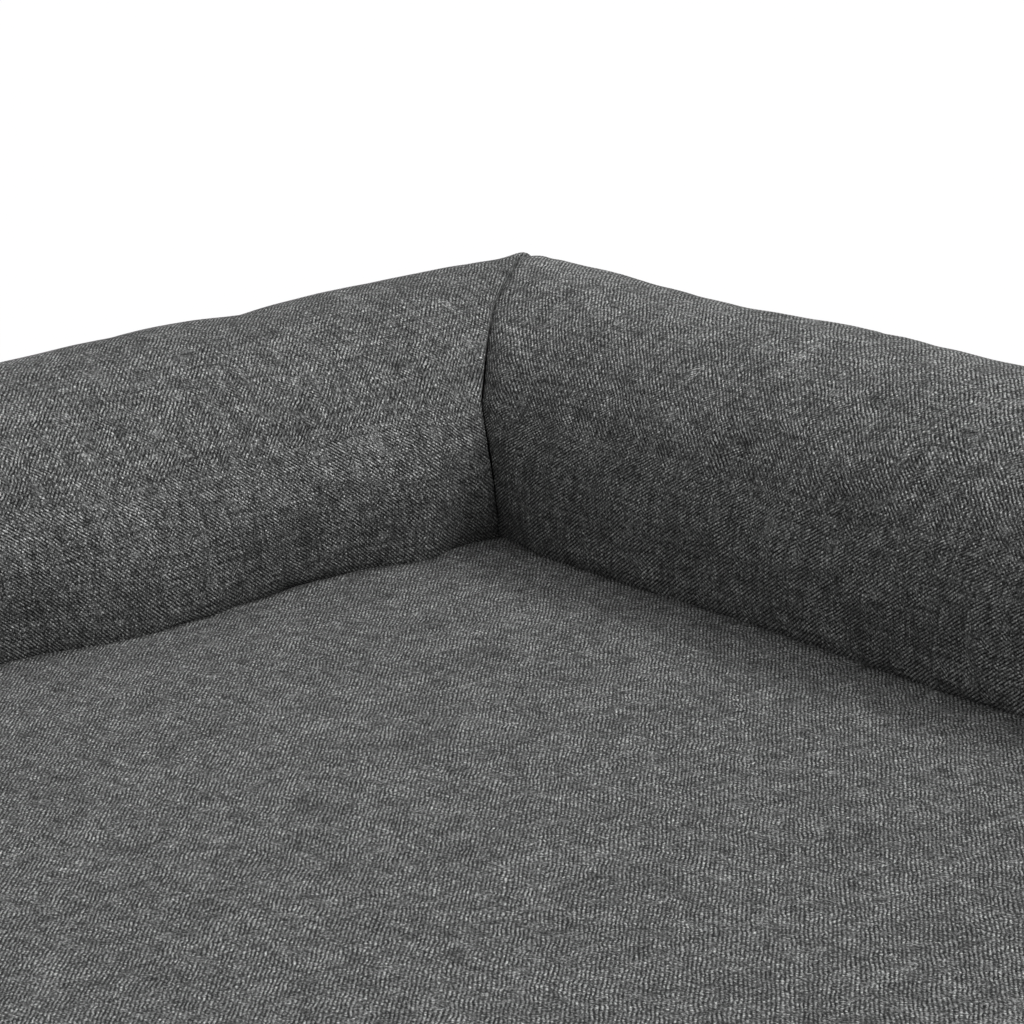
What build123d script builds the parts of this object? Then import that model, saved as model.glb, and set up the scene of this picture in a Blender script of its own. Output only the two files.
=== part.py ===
from build123d import *
import os
from math import sqrt

# Orthopedic dog bed: a foam base in a zipped cloth casing, with stuffed bolsters on three sides.
# The origin is the middle of the footprint on the floor. +X runs to the bed's right, +Y to its
# back and +Z up. The open side, where the dog steps in, faces -Y. Lengths are in millimetres.

# Overall bed
overall_length = 1067.0
overall_depth = 813.0
base_height = 100.0
base_corner_radius = 45.0
bolster_overhang = 12.0

# Cloth, lining and running room
cloth = 1.2
liner = 0.6
bag_cloth = 0.5
layer_gap = 0.3
overrun = 20.0

# Bolster tubes: round, with a flat side where they are sewn down on the sleeping panel
bolster_radius = 80.0
bolster_axis_height = 48.0
bolster_end_round = 22.0
bolster_end_setback = 8.0

# Foam stack: a firm slab with an egg-crate comfort layer on it
comfort_foam_height = 40.0
egg_pitch = 62.0
egg_ball_radius = 32.0
egg_depth = 18.0
egg_margin = 30.0

# Grip dots on the underside cloth
dot_radius = 4.0
dot_height = 0.8
dot_pitch = 55.0
dot_margin = 22.0

# Zippers: two tapes with a coil on each, and a stop at each end, set back from the bed's ends
tape_width = 9.0
tape_thickness = 0.8
coil_width = 2.8
coil_height = 2.4
coil_gap = 1.0
stop_length = 5.0
stop_height = 2.8
base_zipper_setback = 71.5
back_zipper_setback = 183.5
side_zipper_setback = 196.5

# Zipper slider
slider_length = 14.0
slider_width = 10.0
slider_corner = 3.0
slider_plate = 1.4
slider_gap = 0.3
web_thickness = 0.6
web_length = 8.0
ear_radius = 1.3
ear_thickness = 1.2
ear_gap = 4.0
pin_radius = 0.85
pin_lift = 2.2
pin_setback = 3.0

# Zipper pull
eye_radius = 1.9
eye_play = 0.3
pin_play = 0.1
pull_length = 30.0
pull_width = 7.0
pull_thickness = 1.4
pull_corner = 3.0
pull_neck_length = 3.2
pull_hole_radius = 1.6

# Footprint of the base and the lines that the bolsters run along
half_length = overall_length / 2
half_depth = overall_depth / 2
axis_x = half_length - bolster_radius
axis_y = half_depth - bolster_radius
axis_z = base_height + bolster_axis_height
base_length = overall_length - 2 * bolster_overhang
base_depth = overall_depth - bolster_overhang
base_front = -half_depth
base_back = half_depth - bolster_overhang
base_middle = (base_front + base_back) / 2
bolster_front = base_front + bolster_end_setback

# Zippers: their lengths, how far coils and tapes reach from the middle line, and how far the
# slider stands out
base_zipper_length = base_length - 2 * base_zipper_setback
back_zipper_length = overall_length - 2 * back_zipper_setback
side_zipper_length = overall_depth - 2 * side_zipper_setback
tape_inner = coil_gap / 2 + coil_width
zipper_half_height = tape_inner + tape_width
slider_channel = coil_height / 2 + slider_gap
slider_top = slider_channel + slider_plate
tape_reach = sqrt(bolster_radius**2 - zipper_half_height**2) - tape_thickness / 2

os.makedirs("parts", exist_ok=True)


def save(name, piece):
    """Labels a finished piece and writes it under its own name."""
    piece.label = name
    export_step(piece, f"parts/{name}.step")


def base_slab(inset, bottom, top):
    """A block with the footprint of the base, drawn in by inset all round."""
    with BuildPart() as slab:
        with BuildSketch(Plane.XY.offset(bottom)):
            with Locations((0, base_middle)):
                RectangleRounded(
                    base_length - 2 * inset,
                    base_depth - 2 * inset,
                    base_corner_radius - inset,
                )
        extrude(amount=top - bottom)
    return slab.part


def hollow(outside, inside):
    """What is left of one solid when another is taken out of it."""
    with BuildPart() as shell:
        add(outside)
        add(inside, mode=Mode.SUBTRACT)
    return shell.part


# Underside: one cloth with grip dots moulded on it
sheet_bottom = dot_height
sheet_top = sheet_bottom + cloth
underside_cloth = base_slab(0, sheet_bottom, sheet_top)
dots_across = int((base_length - 2 * dot_margin) / dot_pitch) + 1
dots_deep = int((base_depth - 2 * dot_margin) / dot_pitch) + 1
with BuildPart() as nonslip_bottom_panel:
    add(underside_cloth)
    with BuildSketch(Plane.XY.offset(sheet_bottom)):
        with Locations((0, base_middle)):
            with GridLocations(dot_pitch, dot_pitch, dots_across, dots_deep):
                Circle(dot_radius)
    extrude(amount=-dot_height)
save("nonslip_bottom_panel", nonslip_bottom_panel.part)

# Side walls of the base casing: one loop of cloth, cut into the panels that it is sewn from
panel_bottom = base_height - cloth
boxing_loop = hollow(
    base_slab(0, sheet_top, panel_bottom), base_slab(cloth, sheet_top, panel_bottom)
)
boxing_zipper_z = (sheet_top + panel_bottom) / 2
front_seam = Plane.XZ.offset(-base_front - base_corner_radius)
back_seam = Plane.XZ.offset(base_corner_radius - base_back)

with BuildPart() as front_boxing:
    add(boxing_loop)
    split(bisect_by=front_seam, keep=Keep.TOP)
save("front_boxing", front_boxing.part)

with BuildPart() as right_boxing:
    add(boxing_loop)
    split(bisect_by=front_seam, keep=Keep.BOTTOM)
    split(bisect_by=back_seam, keep=Keep.TOP)
    split(bisect_by=Plane.YZ, keep=Keep.TOP)
save("right_boxing", right_boxing.part)
save("left_boxing", mirror(right_boxing.part, about=Plane.YZ))

with BuildPart() as back_boxing:
    add(boxing_loop)
    split(bisect_by=back_seam, keep=Keep.BOTTOM)
    with Locations((0, base_back, boxing_zipper_z)):
        Box(base_zipper_length, 2 * overrun, 2 * zipper_half_height, mode=Mode.SUBTRACT)

for name, side in (("back_boxing_upper", Keep.TOP), ("back_boxing_lower", Keep.BOTTOM)):
    with BuildPart() as strip:
        add(back_boxing.part)
        split(bisect_by=Plane.XY.offset(boxing_zipper_z), keep=side)
    save(name, strip.part)

# Top of the casing, which the dog lies on and the bolsters are sewn to
save("sleeping_panel", base_slab(0, panel_bottom, base_height))

# Waterproof lining round the foam: a tray and its lid, clear of the zipper's slider
liner_inset = tape_thickness / 2 + slider_top + layer_gap
lid_bottom = panel_bottom - liner
tray_outside = base_slab(liner_inset, sheet_top, lid_bottom)
tray_inside = base_slab(liner_inset + liner, sheet_top + liner, lid_bottom)
save("foam_liner_tray", hollow(tray_outside, tray_inside))
save("foam_liner_lid", base_slab(liner_inset, lid_bottom, panel_bottom))

# Foam in the lining
foam_inset = liner_inset + liner + layer_gap
comfort_bottom = lid_bottom - comfort_foam_height
save("support_foam", base_slab(foam_inset, sheet_top + liner, comfort_bottom))

comfort_slab = base_slab(foam_inset, comfort_bottom, lid_bottom)
eggs_across = int((base_length - 2 * egg_margin - 2 * egg_ball_radius) / egg_pitch) + 1
eggs_deep = int((base_depth - 2 * egg_margin - 2 * egg_ball_radius) / egg_pitch) + 1
with BuildPart() as comfort_foam:
    add(comfort_slab)
    with Locations((0, base_middle, lid_bottom - egg_depth + egg_ball_radius)):
        with GridLocations(egg_pitch, egg_pitch, eggs_across, eggs_deep):
            Sphere(egg_ball_radius, mode=Mode.SUBTRACT)
save("comfort_foam", comfort_foam.part)


def mitre(side, inset):
    """The upright plane where a side bolster meets the back one, moved by inset to the side one."""
    corner = Plane(origin=(side * axis_x, axis_y, axis_z), z_dir=(side, -1, 0))
    return corner.offset(inset)


def side_tube(inset, mitre_inset, reach=bolster_radius):
    """The right bolster, drawn in by inset, with its front end rounded over.

    The side that holds the zipper is cut flat at reach from the bolster's axis.
    """
    behind_corner = axis_y + bolster_radius + overrun
    axis_end = Plane(origin=(axis_x, behind_corner, axis_z), x_dir=(1, 0, 0), z_dir=(0, -1, 0))
    with BuildPart() as tube:
        with BuildSketch(axis_end):
            Circle(bolster_radius - inset)
        extrude(amount=behind_corner - bolster_front - inset)
        fillet(tube.faces().sort_by(Axis.Y)[0].edges(), radius=bolster_end_round - inset)
        split(bisect_by=Plane.XY.offset(base_height + inset), keep=Keep.TOP)
        if reach < bolster_radius:
            split(bisect_by=Plane.YZ.offset(axis_x + reach), keep=Keep.BOTTOM)
        split(bisect_by=mitre(1, mitre_inset), keep=Keep.TOP)
    return tube.part


def back_tube(inset, mitre_inset, reach=bolster_radius):
    """The back bolster, drawn in by inset, mitred at both ends and cut flat at reach."""
    left_of_corner = -half_length - overrun
    axis_end = Plane(origin=(left_of_corner, axis_y, axis_z), x_dir=(0, 1, 0), z_dir=(1, 0, 0))
    with BuildPart() as tube:
        with BuildSketch(axis_end):
            Circle(bolster_radius - inset)
        extrude(amount=-2 * left_of_corner)
        split(bisect_by=Plane.XY.offset(base_height + inset), keep=Keep.TOP)
        if reach < bolster_radius:
            split(bisect_by=Plane.XZ.offset(-axis_y - reach), keep=Keep.TOP)
        split(bisect_by=mitre(1, -mitre_inset), keep=Keep.BOTTOM)
        split(bisect_by=mitre(-1, -mitre_inset), keep=Keep.BOTTOM)
    return tube.part


# How far the stuffing and its bag are drawn in under the cover, behind the zipper and at the mitre
bag_inset = cloth + layer_gap
bag_reach = tape_reach - slider_top - layer_gap
bag_mitre = layer_gap / 2
fill_inset = bag_inset + bag_cloth + layer_gap
fill_reach = bag_reach - bag_cloth - layer_gap
fill_mitre = bag_mitre + bag_cloth + layer_gap

# Right and left bolsters: cover, end cap, inner bag and fibre fill
side_shell = hollow(side_tube(0, 0), side_tube(cloth, -overrun))
end_seam = Plane.XZ.offset(-bolster_front - bolster_end_round)

with BuildPart() as side_cover:
    add(side_shell)
    split(bisect_by=end_seam, keep=Keep.BOTTOM)
    with Locations((half_length, 0, axis_z)):
        Box(2 * overrun, side_zipper_length, 2 * zipper_half_height, mode=Mode.SUBTRACT)

with BuildPart() as side_end_cap:
    add(side_shell)
    split(bisect_by=end_seam, keep=Keep.TOP)

side_bag = hollow(
    side_tube(bag_inset, bag_mitre, bag_reach),
    side_tube(bag_inset + bag_cloth, bag_mitre + bag_cloth, bag_reach - bag_cloth),
)
side_fill = side_tube(fill_inset, fill_mitre, fill_reach)

for name, piece in (
    ("bolster_cover", side_cover.part),
    ("bolster_end_cap", side_end_cap.part),
    ("bolster_inner_bag", side_bag),
    ("bolster_fibre_fill", side_fill),
):
    save(f"right_{name}", piece)
    save(f"left_{name}", mirror(piece, about=Plane.YZ))

# Back bolster: cover, inner bag and fibre fill
back_shell = hollow(back_tube(0, 0), back_tube(cloth, -overrun))
with BuildPart() as back_bolster_cover:
    add(back_shell)
    with Locations((0, half_depth, axis_z)):
        Box(back_zipper_length, 2 * overrun, 2 * zipper_half_height, mode=Mode.SUBTRACT)
save("back_bolster_cover", back_bolster_cover.part)

back_bag = hollow(
    back_tube(bag_inset, bag_mitre, bag_reach),
    back_tube(bag_inset + bag_cloth, bag_mitre + bag_cloth, bag_reach - bag_cloth),
)
save("back_bolster_inner_bag", back_bag)
save("back_bolster_fibre_fill", back_tube(fill_inset, fill_mitre, fill_reach))


def zipper_pieces(frame, length):
    """One closed zipper, about a plane in the middle of its tapes.

    The plane's X runs along the zipper from the end where the slider stands, and its Z points out
    of the bed. The pull lies along X from its pin in the slider's ears.
    """
    coil_length = length - 2 * stop_length
    slider_x = (slider_length - coil_length) / 2 + slider_gap
    pin_x = slider_x + slider_length / 2 - pin_setback
    pin_z = slider_top + pin_lift

    with BuildPart(frame) as upper_tape:
        with Locations((0, tape_inner + tape_width / 2, 0)):
            Box(length, tape_width, tape_thickness)
    with BuildPart(frame) as lower_tape:
        with Locations((0, -tape_inner - tape_width / 2, 0)):
            Box(length, tape_width, tape_thickness)
    with BuildPart(frame) as coils:
        with GridLocations(0, coil_gap + coil_width, 1, 2):
            Box(coil_length, coil_width, coil_height)
    with BuildPart(frame) as stops:
        with GridLocations(length - stop_length, 0, 2, 1):
            Box(stop_length, 2 * tape_inner, stop_height)

    # Slider: two lipped plates on a web that runs between the coils, and ears with a pin
    lip_inner = tape_inner + slider_gap
    lip_width = slider_width / 2 - lip_inner
    lip_bottom = tape_thickness / 2 + slider_gap
    lip_height = slider_channel - lip_bottom
    ear_y = (ear_gap + ear_thickness) / 2
    with BuildPart(frame) as slider:
        for way in (1, -1):
            with BuildSketch(frame.offset(way * slider_channel)):
                with Locations((slider_x, 0)):
                    RectangleRounded(slider_length, slider_width, slider_corner)
            extrude(amount=way * slider_plate)
            with Locations((slider_x, 0, way * (lip_bottom + lip_height / 2))):
                with GridLocations(0, 2 * lip_inner + lip_width, 1, 2):
                    Box(slider_length - 2 * slider_corner, lip_width, lip_height)
        with Locations((slider_x, 0, 0)):
            Box(web_length, web_thickness, slider_channel + slider_top)
        for side in (1, -1):
            with Locations((pin_x, side * ear_y, slider_top + pin_lift / 2)):
                Box(2 * ear_radius, ear_thickness, pin_lift)
            with Locations(Location((pin_x, side * ear_y, pin_z), (90, 0, 0))):
                Cylinder(ear_radius, ear_thickness)
        with Locations(Location((pin_x, 0, pin_z), (90, 0, 0))):
            Cylinder(pin_radius, ear_gap + ear_thickness)

    # Pull: an eye round the pin, a neck and a flat blade with a hole near its end
    eye_width = ear_gap - 2 * eye_play
    blade_length = pull_length - pull_neck_length
    with BuildPart(frame) as pull:
        with Locations(Location((pin_x, 0, pin_z), (90, 0, 0))):
            Cylinder(eye_radius, eye_width)
        with Locations((pin_x + pull_neck_length / 2, 0, pin_z)):
            Box(pull_neck_length, eye_width, pull_thickness)
        with BuildSketch(frame.offset(pin_z - pull_thickness / 2)):
            with Locations((pin_x + pull_neck_length + blade_length / 2, 0)):
                RectangleRounded(blade_length, pull_width, pull_corner)
            with Locations((pin_x + pull_length - pull_width / 2, 0)):
                Circle(pull_hole_radius, mode=Mode.SUBTRACT)
        extrude(amount=pull_thickness)
        with Locations(Location((pin_x, 0, pin_z), (90, 0, 0))):
            Cylinder(pin_radius + pin_play, 2 * ear_gap, mode=Mode.SUBTRACT)
    return {
        "tape_upper": upper_tape.part,
        "tape_lower": lower_tape.part,
        "coils": coils.part,
        "stops": stops.part,
        "slider": slider.part,
        "pull": pull.part,
    }


# The four zippers: one in the base casing's back wall and one in the outer side of each bolster
base_zipper = zipper_pieces(
    Plane(
        origin=(0, base_back - tape_thickness / 2, boxing_zipper_z),
        x_dir=(-1, 0, 0),
        z_dir=(0, 1, 0),
    ),
    base_zipper_length,
)
back_zipper = zipper_pieces(
    Plane(origin=(0, axis_y + tape_reach, axis_z), x_dir=(-1, 0, 0), z_dir=(0, 1, 0)),
    back_zipper_length,
)
side_zipper = zipper_pieces(
    Plane(origin=(axis_x + tape_reach, 0, axis_z), x_dir=(0, 1, 0), z_dir=(1, 0, 0)),
    side_zipper_length,
)
for name in base_zipper:
    save(f"base_zipper_{name}", base_zipper[name])
    save(f"back_zipper_{name}", back_zipper[name])
    save(f"right_zipper_{name}", side_zipper[name])
    save(f"left_zipper_{name}", mirror(side_zipper[name], about=Plane.YZ))
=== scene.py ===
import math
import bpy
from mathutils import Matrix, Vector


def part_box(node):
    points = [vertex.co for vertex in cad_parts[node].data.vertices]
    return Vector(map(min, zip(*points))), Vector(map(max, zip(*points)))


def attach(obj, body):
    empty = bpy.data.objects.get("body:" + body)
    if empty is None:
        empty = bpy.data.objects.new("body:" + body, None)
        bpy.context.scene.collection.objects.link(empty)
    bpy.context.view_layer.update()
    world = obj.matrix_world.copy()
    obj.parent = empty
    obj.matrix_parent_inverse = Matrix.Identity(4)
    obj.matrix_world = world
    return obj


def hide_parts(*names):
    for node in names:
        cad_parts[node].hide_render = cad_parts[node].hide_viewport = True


bl_info = {
    "name": "Orthopedic Dog Bed",
    "version": (1, 0, 0),
    "blender": (4, 5, 0),
    "location": "View3D > Sidebar > Dog Bed",
    "description": "Sews covers, stuffing and zippers round the packed dog bed and lights it",
    "category": "Object",
}

import bmesh
import bpy
import numpy as np
from bpy.props import FloatProperty, FloatVectorProperty, IntProperty, PointerProperty
from mathutils import Matrix, Vector

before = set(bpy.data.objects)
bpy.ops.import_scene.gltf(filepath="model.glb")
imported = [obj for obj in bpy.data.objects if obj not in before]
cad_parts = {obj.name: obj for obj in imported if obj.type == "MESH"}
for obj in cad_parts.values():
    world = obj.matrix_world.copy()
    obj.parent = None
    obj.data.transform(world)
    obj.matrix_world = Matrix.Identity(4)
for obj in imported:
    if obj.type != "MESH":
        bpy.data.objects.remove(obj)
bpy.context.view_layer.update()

MM = 0.001
ZIPPERS = ("base", "back", "right", "left")

# Places of the bed, read from the frame
side_cover_low, side_cover_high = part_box("right_bolster_cover")
panel_low, panel_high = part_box("sleeping_panel")
wall_low, wall_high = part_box("front_boxing")
RADIUS = (side_cover_high.x - side_cover_low.x) / 2
AXIS_X = (side_cover_high.x + side_cover_low.x) / 2
AXIS_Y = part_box("back_bolster_cover")[1].y - RADIUS
DECK = panel_high.z
BASE_X = panel_high.x
BASE_FRONT = panel_low.y
BASE_BACK = panel_high.y
BASE_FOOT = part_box("nonslip_bottom_panel")[1].z
BASE_MIDDLE = (BASE_FRONT + BASE_BACK) / 2
BASE_HALF = (BASE_BACK - BASE_FRONT) / 2
CORNER = wall_high.y - wall_low.y
CAP_SEAM = side_cover_low.y
CAP_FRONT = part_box("right_bolster_end_cap")[0].y

# Bolster section above the sleeping panel: an ellipse about its middle, cut by the panel
SECTION_MIDDLE = 48.8 * MM
SECTION_SLUMP = 2.4 * MM
HALF_WIDTH = RADIUS
HALF_HEIGHT = RADIUS - SECTION_SLUMP
FOOT = HALF_WIDTH * math.sqrt(1 - (SECTION_MIDDLE / HALF_HEIGHT) ** 2)

# Zipper slots: half their height, how far the cloth reaches over the tapes' ends, and how far
# the topstitching lies outside them
SLOT_HALF = 8.6 * MM
SLOT_LAP = 3.0 * MM
TOPSTITCH_OFF = 2.6 * MM
BASE_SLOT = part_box("base_zipper_tape_upper")[1].x - SLOT_LAP
ZIP_HEIGHT = sum(corner.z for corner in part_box("base_zipper_coils")) / 2

# How the covers depart from a plain tube near the back right corner: rows of the distance from
# the corner of the bolster axes and the departure, both in millimetres
BACK_TOP_RISES = ((0, 1.8), (80, 1.2), (190, 0.4), (290, -0.6), (400, 0))
SIDE_TOP_RISES = ((0, 1.7), (40, -0.4), (90, -1.3), (140, -2.6), (190, -1.8), (230, -0.5),
                  (275, 0.8), (320, 0.8), (360, 1.2), (450, 0))
BACK_FOOT_BULGES = ((50, 0), (85, -2), (114, 5), (157, -1), (186, -3), (214, 1), (245, 5),
                    (295, 8), (347, 1), (400, 0))
BACK_PANEL_RISES = ((50, 0), (85, 1.0), (114, -0.6), (157, 1.2), (186, 1.8), (214, 0.2),
                    (245, -0.8), (295, -0.9), (347, 0), (400, 0))
SIDE_PANEL_RISES = ((50, 0), (110, 0.3), (160, -0.2), (217, 1.2), (240, 1.2), (300, 0.2),
                    (390, -0.7), (440, -0.8), (500, 0))
# The mitre seam's drift to the side bolster: (angle above the bolster's middle, millimetres)
SEAM_DRIFTS = ((-60, -1.0), (-38, -0.2), (-20, 2.4), (-8, 2.6), (0, 1.7), (7, 0.5),
               (14, -1.2), (21, -2.9), (28, -2.3), (45, -2.1), (57, -2.2), (80, 2.0),
               (106, 3.2), (135, 0), (200, 0))
# Painted light and shade on the covers by how the light falls round them: how much paler they are
# painted than their cloth elsewhere (angle above the middle, hundredths)
BACK_PAINTED_SHADING = ((-60, -14), (-25, -11), (0, 3), (14, 10), (30, 6), (50, -4), (90, -8), (200, 0))
SIDE_PAINTED_SHADING = ((-60, 16), (-33, 10), (0, -3), (30, -5), (55, 8), (75, 18), (90, 14), (120, 0),
             (200, 0))

# Camera: where it stands, and its right, down and forward directions
CAMERA_PLACE = (-0.72306, -1.35392, 0.66345)
CAMERA_RIGHT = (0.81114, -0.58208, -0.05689)
CAMERA_DOWN = (-0.20152, -0.18685, -0.96150)
CAMERA_LENS_MM = 141.08
SENSOR_MM = 36.0

# Suns: name, direction that the light comes from, spread in degrees and strength
SUNS = (
    ("key", (0.483, -0.129, 0.866), 15, 1.18),
    ("front", (0.0, -0.73, 0.68), 44, 1.27),
)
SOFT_WORLD = 0.43
FLOOR_GLOW = 1.08
FLOOR_HALF = 30.0
FLOOR_DROP = 0.05 * MM


def sized(name, millimetres, description):
    """A property that holds a length."""
    return FloatProperty(
        name=name, description=description, default=millimetres * MM, unit="LENGTH"
    )


def rated(name, default, description):
    """A property that holds a plain number."""
    return FloatProperty(name=name, description=description, default=default)


def tinted(name, default, description):
    """A property that holds a colour."""
    return FloatVectorProperty(
        name=name, description=description, default=default, subtype="COLOR", min=0, max=1
    )


class BedSizes(bpy.types.PropertyGroup):
    """Sizes of the soft parts that someone sewing the bed would change"""

    crown: sized("Crown", 2.5, "How far the sleeping panel swells in its middle")
    roll: sized("Edge roll", 3.5, "Height of the padding's round edge beside the bolsters")
    wall_bulge: sized("Wall bulge", 4.0, "How far the side walls swell at half height")
    lump: sized("Lumps", 0.9, "Height of the stuffing's unevenness")
    pucker: sized("Puckers", 0.7, "Height of the small gathers along sewn edges")
    groove: sized("Seam groove", 2.7, "Depth of the mitre seam")
    seam_lap: sized("Seam lap", 1.3, "How far the back bolster's cloth laps over the mitre seam")
    cloth: sized("Cloth", 1.2, "Thickness of the cover cloth")
    mesh_step: sized("Mesh step", 5.0, "Largest side of a face on the covers")
    stitch_length: sized("Stitch", 3.0, "Length of one stitch of the topstitching")
    stitch_gap: sized("Stitch gap", 1.1, "Space between two stitches")
    coil_pitch: sized("Coil pitch", 1.7, "Distance between two turns of a zipper's coil")
    dot_pitch: sized("Dot pitch", 17.0, "Distance between two grip dots on the underside")
    dot_radius: sized("Dot radius", 2.4, "Radius of one grip dot")
    simulated_frames: IntProperty(
        name="Frames", description="Frames that the covers are inflated for", default=20, min=2)


class BedLooks(bpy.types.PropertyGroup):
    """Colours and yarns of the bed"""

    warp_pitch: sized("Warp pitch", 1.11, "Distance between two warp threads")
    weft_pitch: sized("Weft pitch", 1.09, "Distance between two weft threads")
    lean: rated("Lean", 0.178, "How far the warp leans off square, per length")
    side_spread: rated(
        "Side spread", 1.27, "How far the side covers' cloth is stretched lengthwise")
    side_close: rated("Side close", 0.92, "How far the side covers' cloth draws in round them")
    yarn_dark: tinted("Dark yarn", (0.012, 0.0125, 0.0125), "Darkest tone of the cover cloth")
    yarn_light: tinted("Light yarn", (0.90, 0.91, 0.90), "Lightest tone of the cover cloth")
    thread: tinted("Sewing thread", (0.13, 0.13, 0.132), "Colour of the topstitching")
    underside: tinted("Underside", (0.055, 0.055, 0.058), "Colour of the grip cloth")
    dots: tinted("Grip dots", (0.02, 0.02, 0.021), "Colour of the moulded dots")
    tape: tinted("Zipper tape", (0.045, 0.045, 0.047), "Colour of the zippers' tapes")
    coil: tinted("Zipper coil", (0.03, 0.03, 0.032), "Colour of the nylon coils")
    metal: tinted("Metal", (0.32, 0.32, 0.33), "Colour of the sliders and pulls")
    liner: tinted("Lining", (0.72, 0.74, 0.76), "Colour of the waterproof lining")
    bag: tinted("Inner bag", (0.78, 0.78, 0.76), "Colour of the bolsters' inner bags")
    fibre: tinted("Fibre", (0.86, 0.86, 0.85), "Colour of the stuffing")
    firm_foam: tinted("Support foam", (0.78, 0.74, 0.60), "Colour of the firm foam slab")
    soft_foam: tinted("Comfort foam", (0.45, 0.58, 0.74), "Colour of the egg-crate foam")
    floor: tinted("Floor", (0.9, 0.9, 0.9), "Colour of the floor")


# Shader nodes as expressions


class Wire:
    """An output socket. Arithmetic on it adds Math nodes."""

    def __init__(self, bench, socket):
        self.bench = bench
        self.socket = socket

    def math(self, operation, *values):
        return self.bench.node("ShaderNodeMath", {"operation": operation}, values)

    def __add__(self, other):
        return self.math("ADD", self, other)

    def __sub__(self, other):
        return self.math("SUBTRACT", self, other)

    def __rsub__(self, other):
        return self.math("SUBTRACT", other, self)

    def __mul__(self, other):
        return self.math("MULTIPLY", self, other)

    def __truediv__(self, other):
        return self.math("DIVIDE", self, other)

    def __mod__(self, other):
        return self.math("FLOORED_MODULO", self, other)

    def __pow__(self, other):
        return self.math("POWER", self, other)

    __radd__ = __add__
    __rmul__ = __mul__

    def floor(self):
        return self.math("FLOOR", self)

    def cos(self):
        return self.math("COSINE", self)

    def size(self):
        return self.math("ABSOLUTE", self)

    def clamp(self, most=1):
        return self.math("MAXIMUM", self.math("MINIMUM", self, most), 0)


class Bench:
    """Where the nodes of a material, or of a world, are put together."""

    def __init__(self, name, world=None):
        self.material = world or bpy.data.materials.new(name)
        self.material.use_nodes = True
        self.tree = self.material.node_tree
        self.tree.nodes.clear()

    def node(self, kind, settings=None, inputs=(), output=0):
        """Adds a node, sets it up, fills or links its inputs and returns one output, if any."""
        made = self.tree.nodes.new(kind)
        for name, value in (settings or {}).items():
            setattr(made, name, value)
        pairs = inputs.items() if isinstance(inputs, dict) else enumerate(inputs)
        for key, value in pairs:
            if isinstance(value, Wire):
                self.tree.links.new(value.socket, made.inputs[key])
            else:
                made.inputs[key].default_value = value
        return Wire(self, made.outputs[output]) if made.outputs else None

    def cloth_place(self):
        """Metres along the cloth's two thread directions."""
        place = self.node("ShaderNodeUVMap", {"uv_map": "cloth"})
        across = self.node("ShaderNodeSeparateXYZ", inputs=[place])
        return across, Wire(self, across.socket.node.outputs[1])

    def solid_place(self):
        """The point in metres in the bed's frame, as a vector."""
        return self.node("ShaderNodeTexCoord", output="Object")

    def painted(self, name):
        """A number stored on the mesh's points, 0 where the mesh has none."""
        return self.node("ShaderNodeAttribute", {"attribute_name": name}, output=2)

    def point(self, x, y):
        return self.node("ShaderNodeCombineXYZ", inputs=(x, y, 0.0))

    def noise(self, place, size, detail=2.0, roughness=0.5, flat=True):
        """Smooth noise around 0.5 with features of that size, at a vector or a pair of numbers."""
        place = self.point(*place) if isinstance(place, tuple) else place
        return self.node(
            "ShaderNodeTexNoise",
            {"noise_dimensions": "2D" if flat else "3D"},
            {"Vector": place, "Scale": 1 / size, "Detail": detail, "Roughness": roughness},
        )

    def chance(self, x, y):
        """One random number from 0 to 1 for each distinct pair of numbers."""
        return self.node(
            "ShaderNodeTexWhiteNoise", {"noise_dimensions": "2D"}, {"Vector": self.point(x, y)}
        )

    def blend(self, share, first, second):
        """A colour between two others."""
        first, second = [c if isinstance(c, Wire) else (*c[:3], 1.0) for c in (first, second)]
        return self.node(
            "ShaderNodeMix", {"data_type": "RGBA"}, {0: share, 6: first, 7: second}, 2
        )

    def shades(self, share, tint, low, high=1.0):
        """A colour between two multiples of a tint."""
        return self.blend(share, *[tuple(part * c for c in tint[:3]) for part in (low, high)])

    def ray_kinds(self):
        """1 for rays from the camera, and 1 for rays that mirror."""
        kinds = ("Is Camera Ray", "Is Glossy Ray")
        return [self.node("ShaderNodeLightPath", output=kind) for kind in kinds]

    def bump(self, height, distance, strength=1.0):
        return self.node(
            "ShaderNodeBump", inputs={"Height": height, "Distance": distance, "Strength": strength}
        )

    def finish(self, **sockets):
        """Ends in a Principled shader; names are its sockets' names with _ for spaces."""
        inputs = {name.replace("_", " "): value for name, value in sockets.items()}
        for name, value in inputs.items():
            if isinstance(value, tuple) and len(value) == 3:
                inputs[name] = (*value, 1.0)
        shader = self.node("ShaderNodeBsdfPrincipled", inputs=inputs)
        self.node("ShaderNodeOutputMaterial", inputs={"Surface": shader})
        return self.material


def thread_counts(bench, across, along, pitches, lean, drift):
    """How many warp and weft threads lie before a point; lean skews the cloth off square."""
    warp_drift = (bench.noise((across, along), 36 * MM, 3.0, 0.62) - 0.5) * drift
    weft_drift = (bench.noise((across + 3.1, along), 31 * MM, 3.0, 0.62) - 0.5) * drift
    slip = bench.noise((across + 7.7, along), 6 * MM, 2.0, 0.6) - 0.5
    warp_drift = warp_drift + slip * 1.1
    weft_drift = weft_drift - slip * 0.8
    warp = (across + along * lean) / pitches[0] + warp_drift
    weft = along / pitches[1] + weft_drift
    return warp, weft


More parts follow.
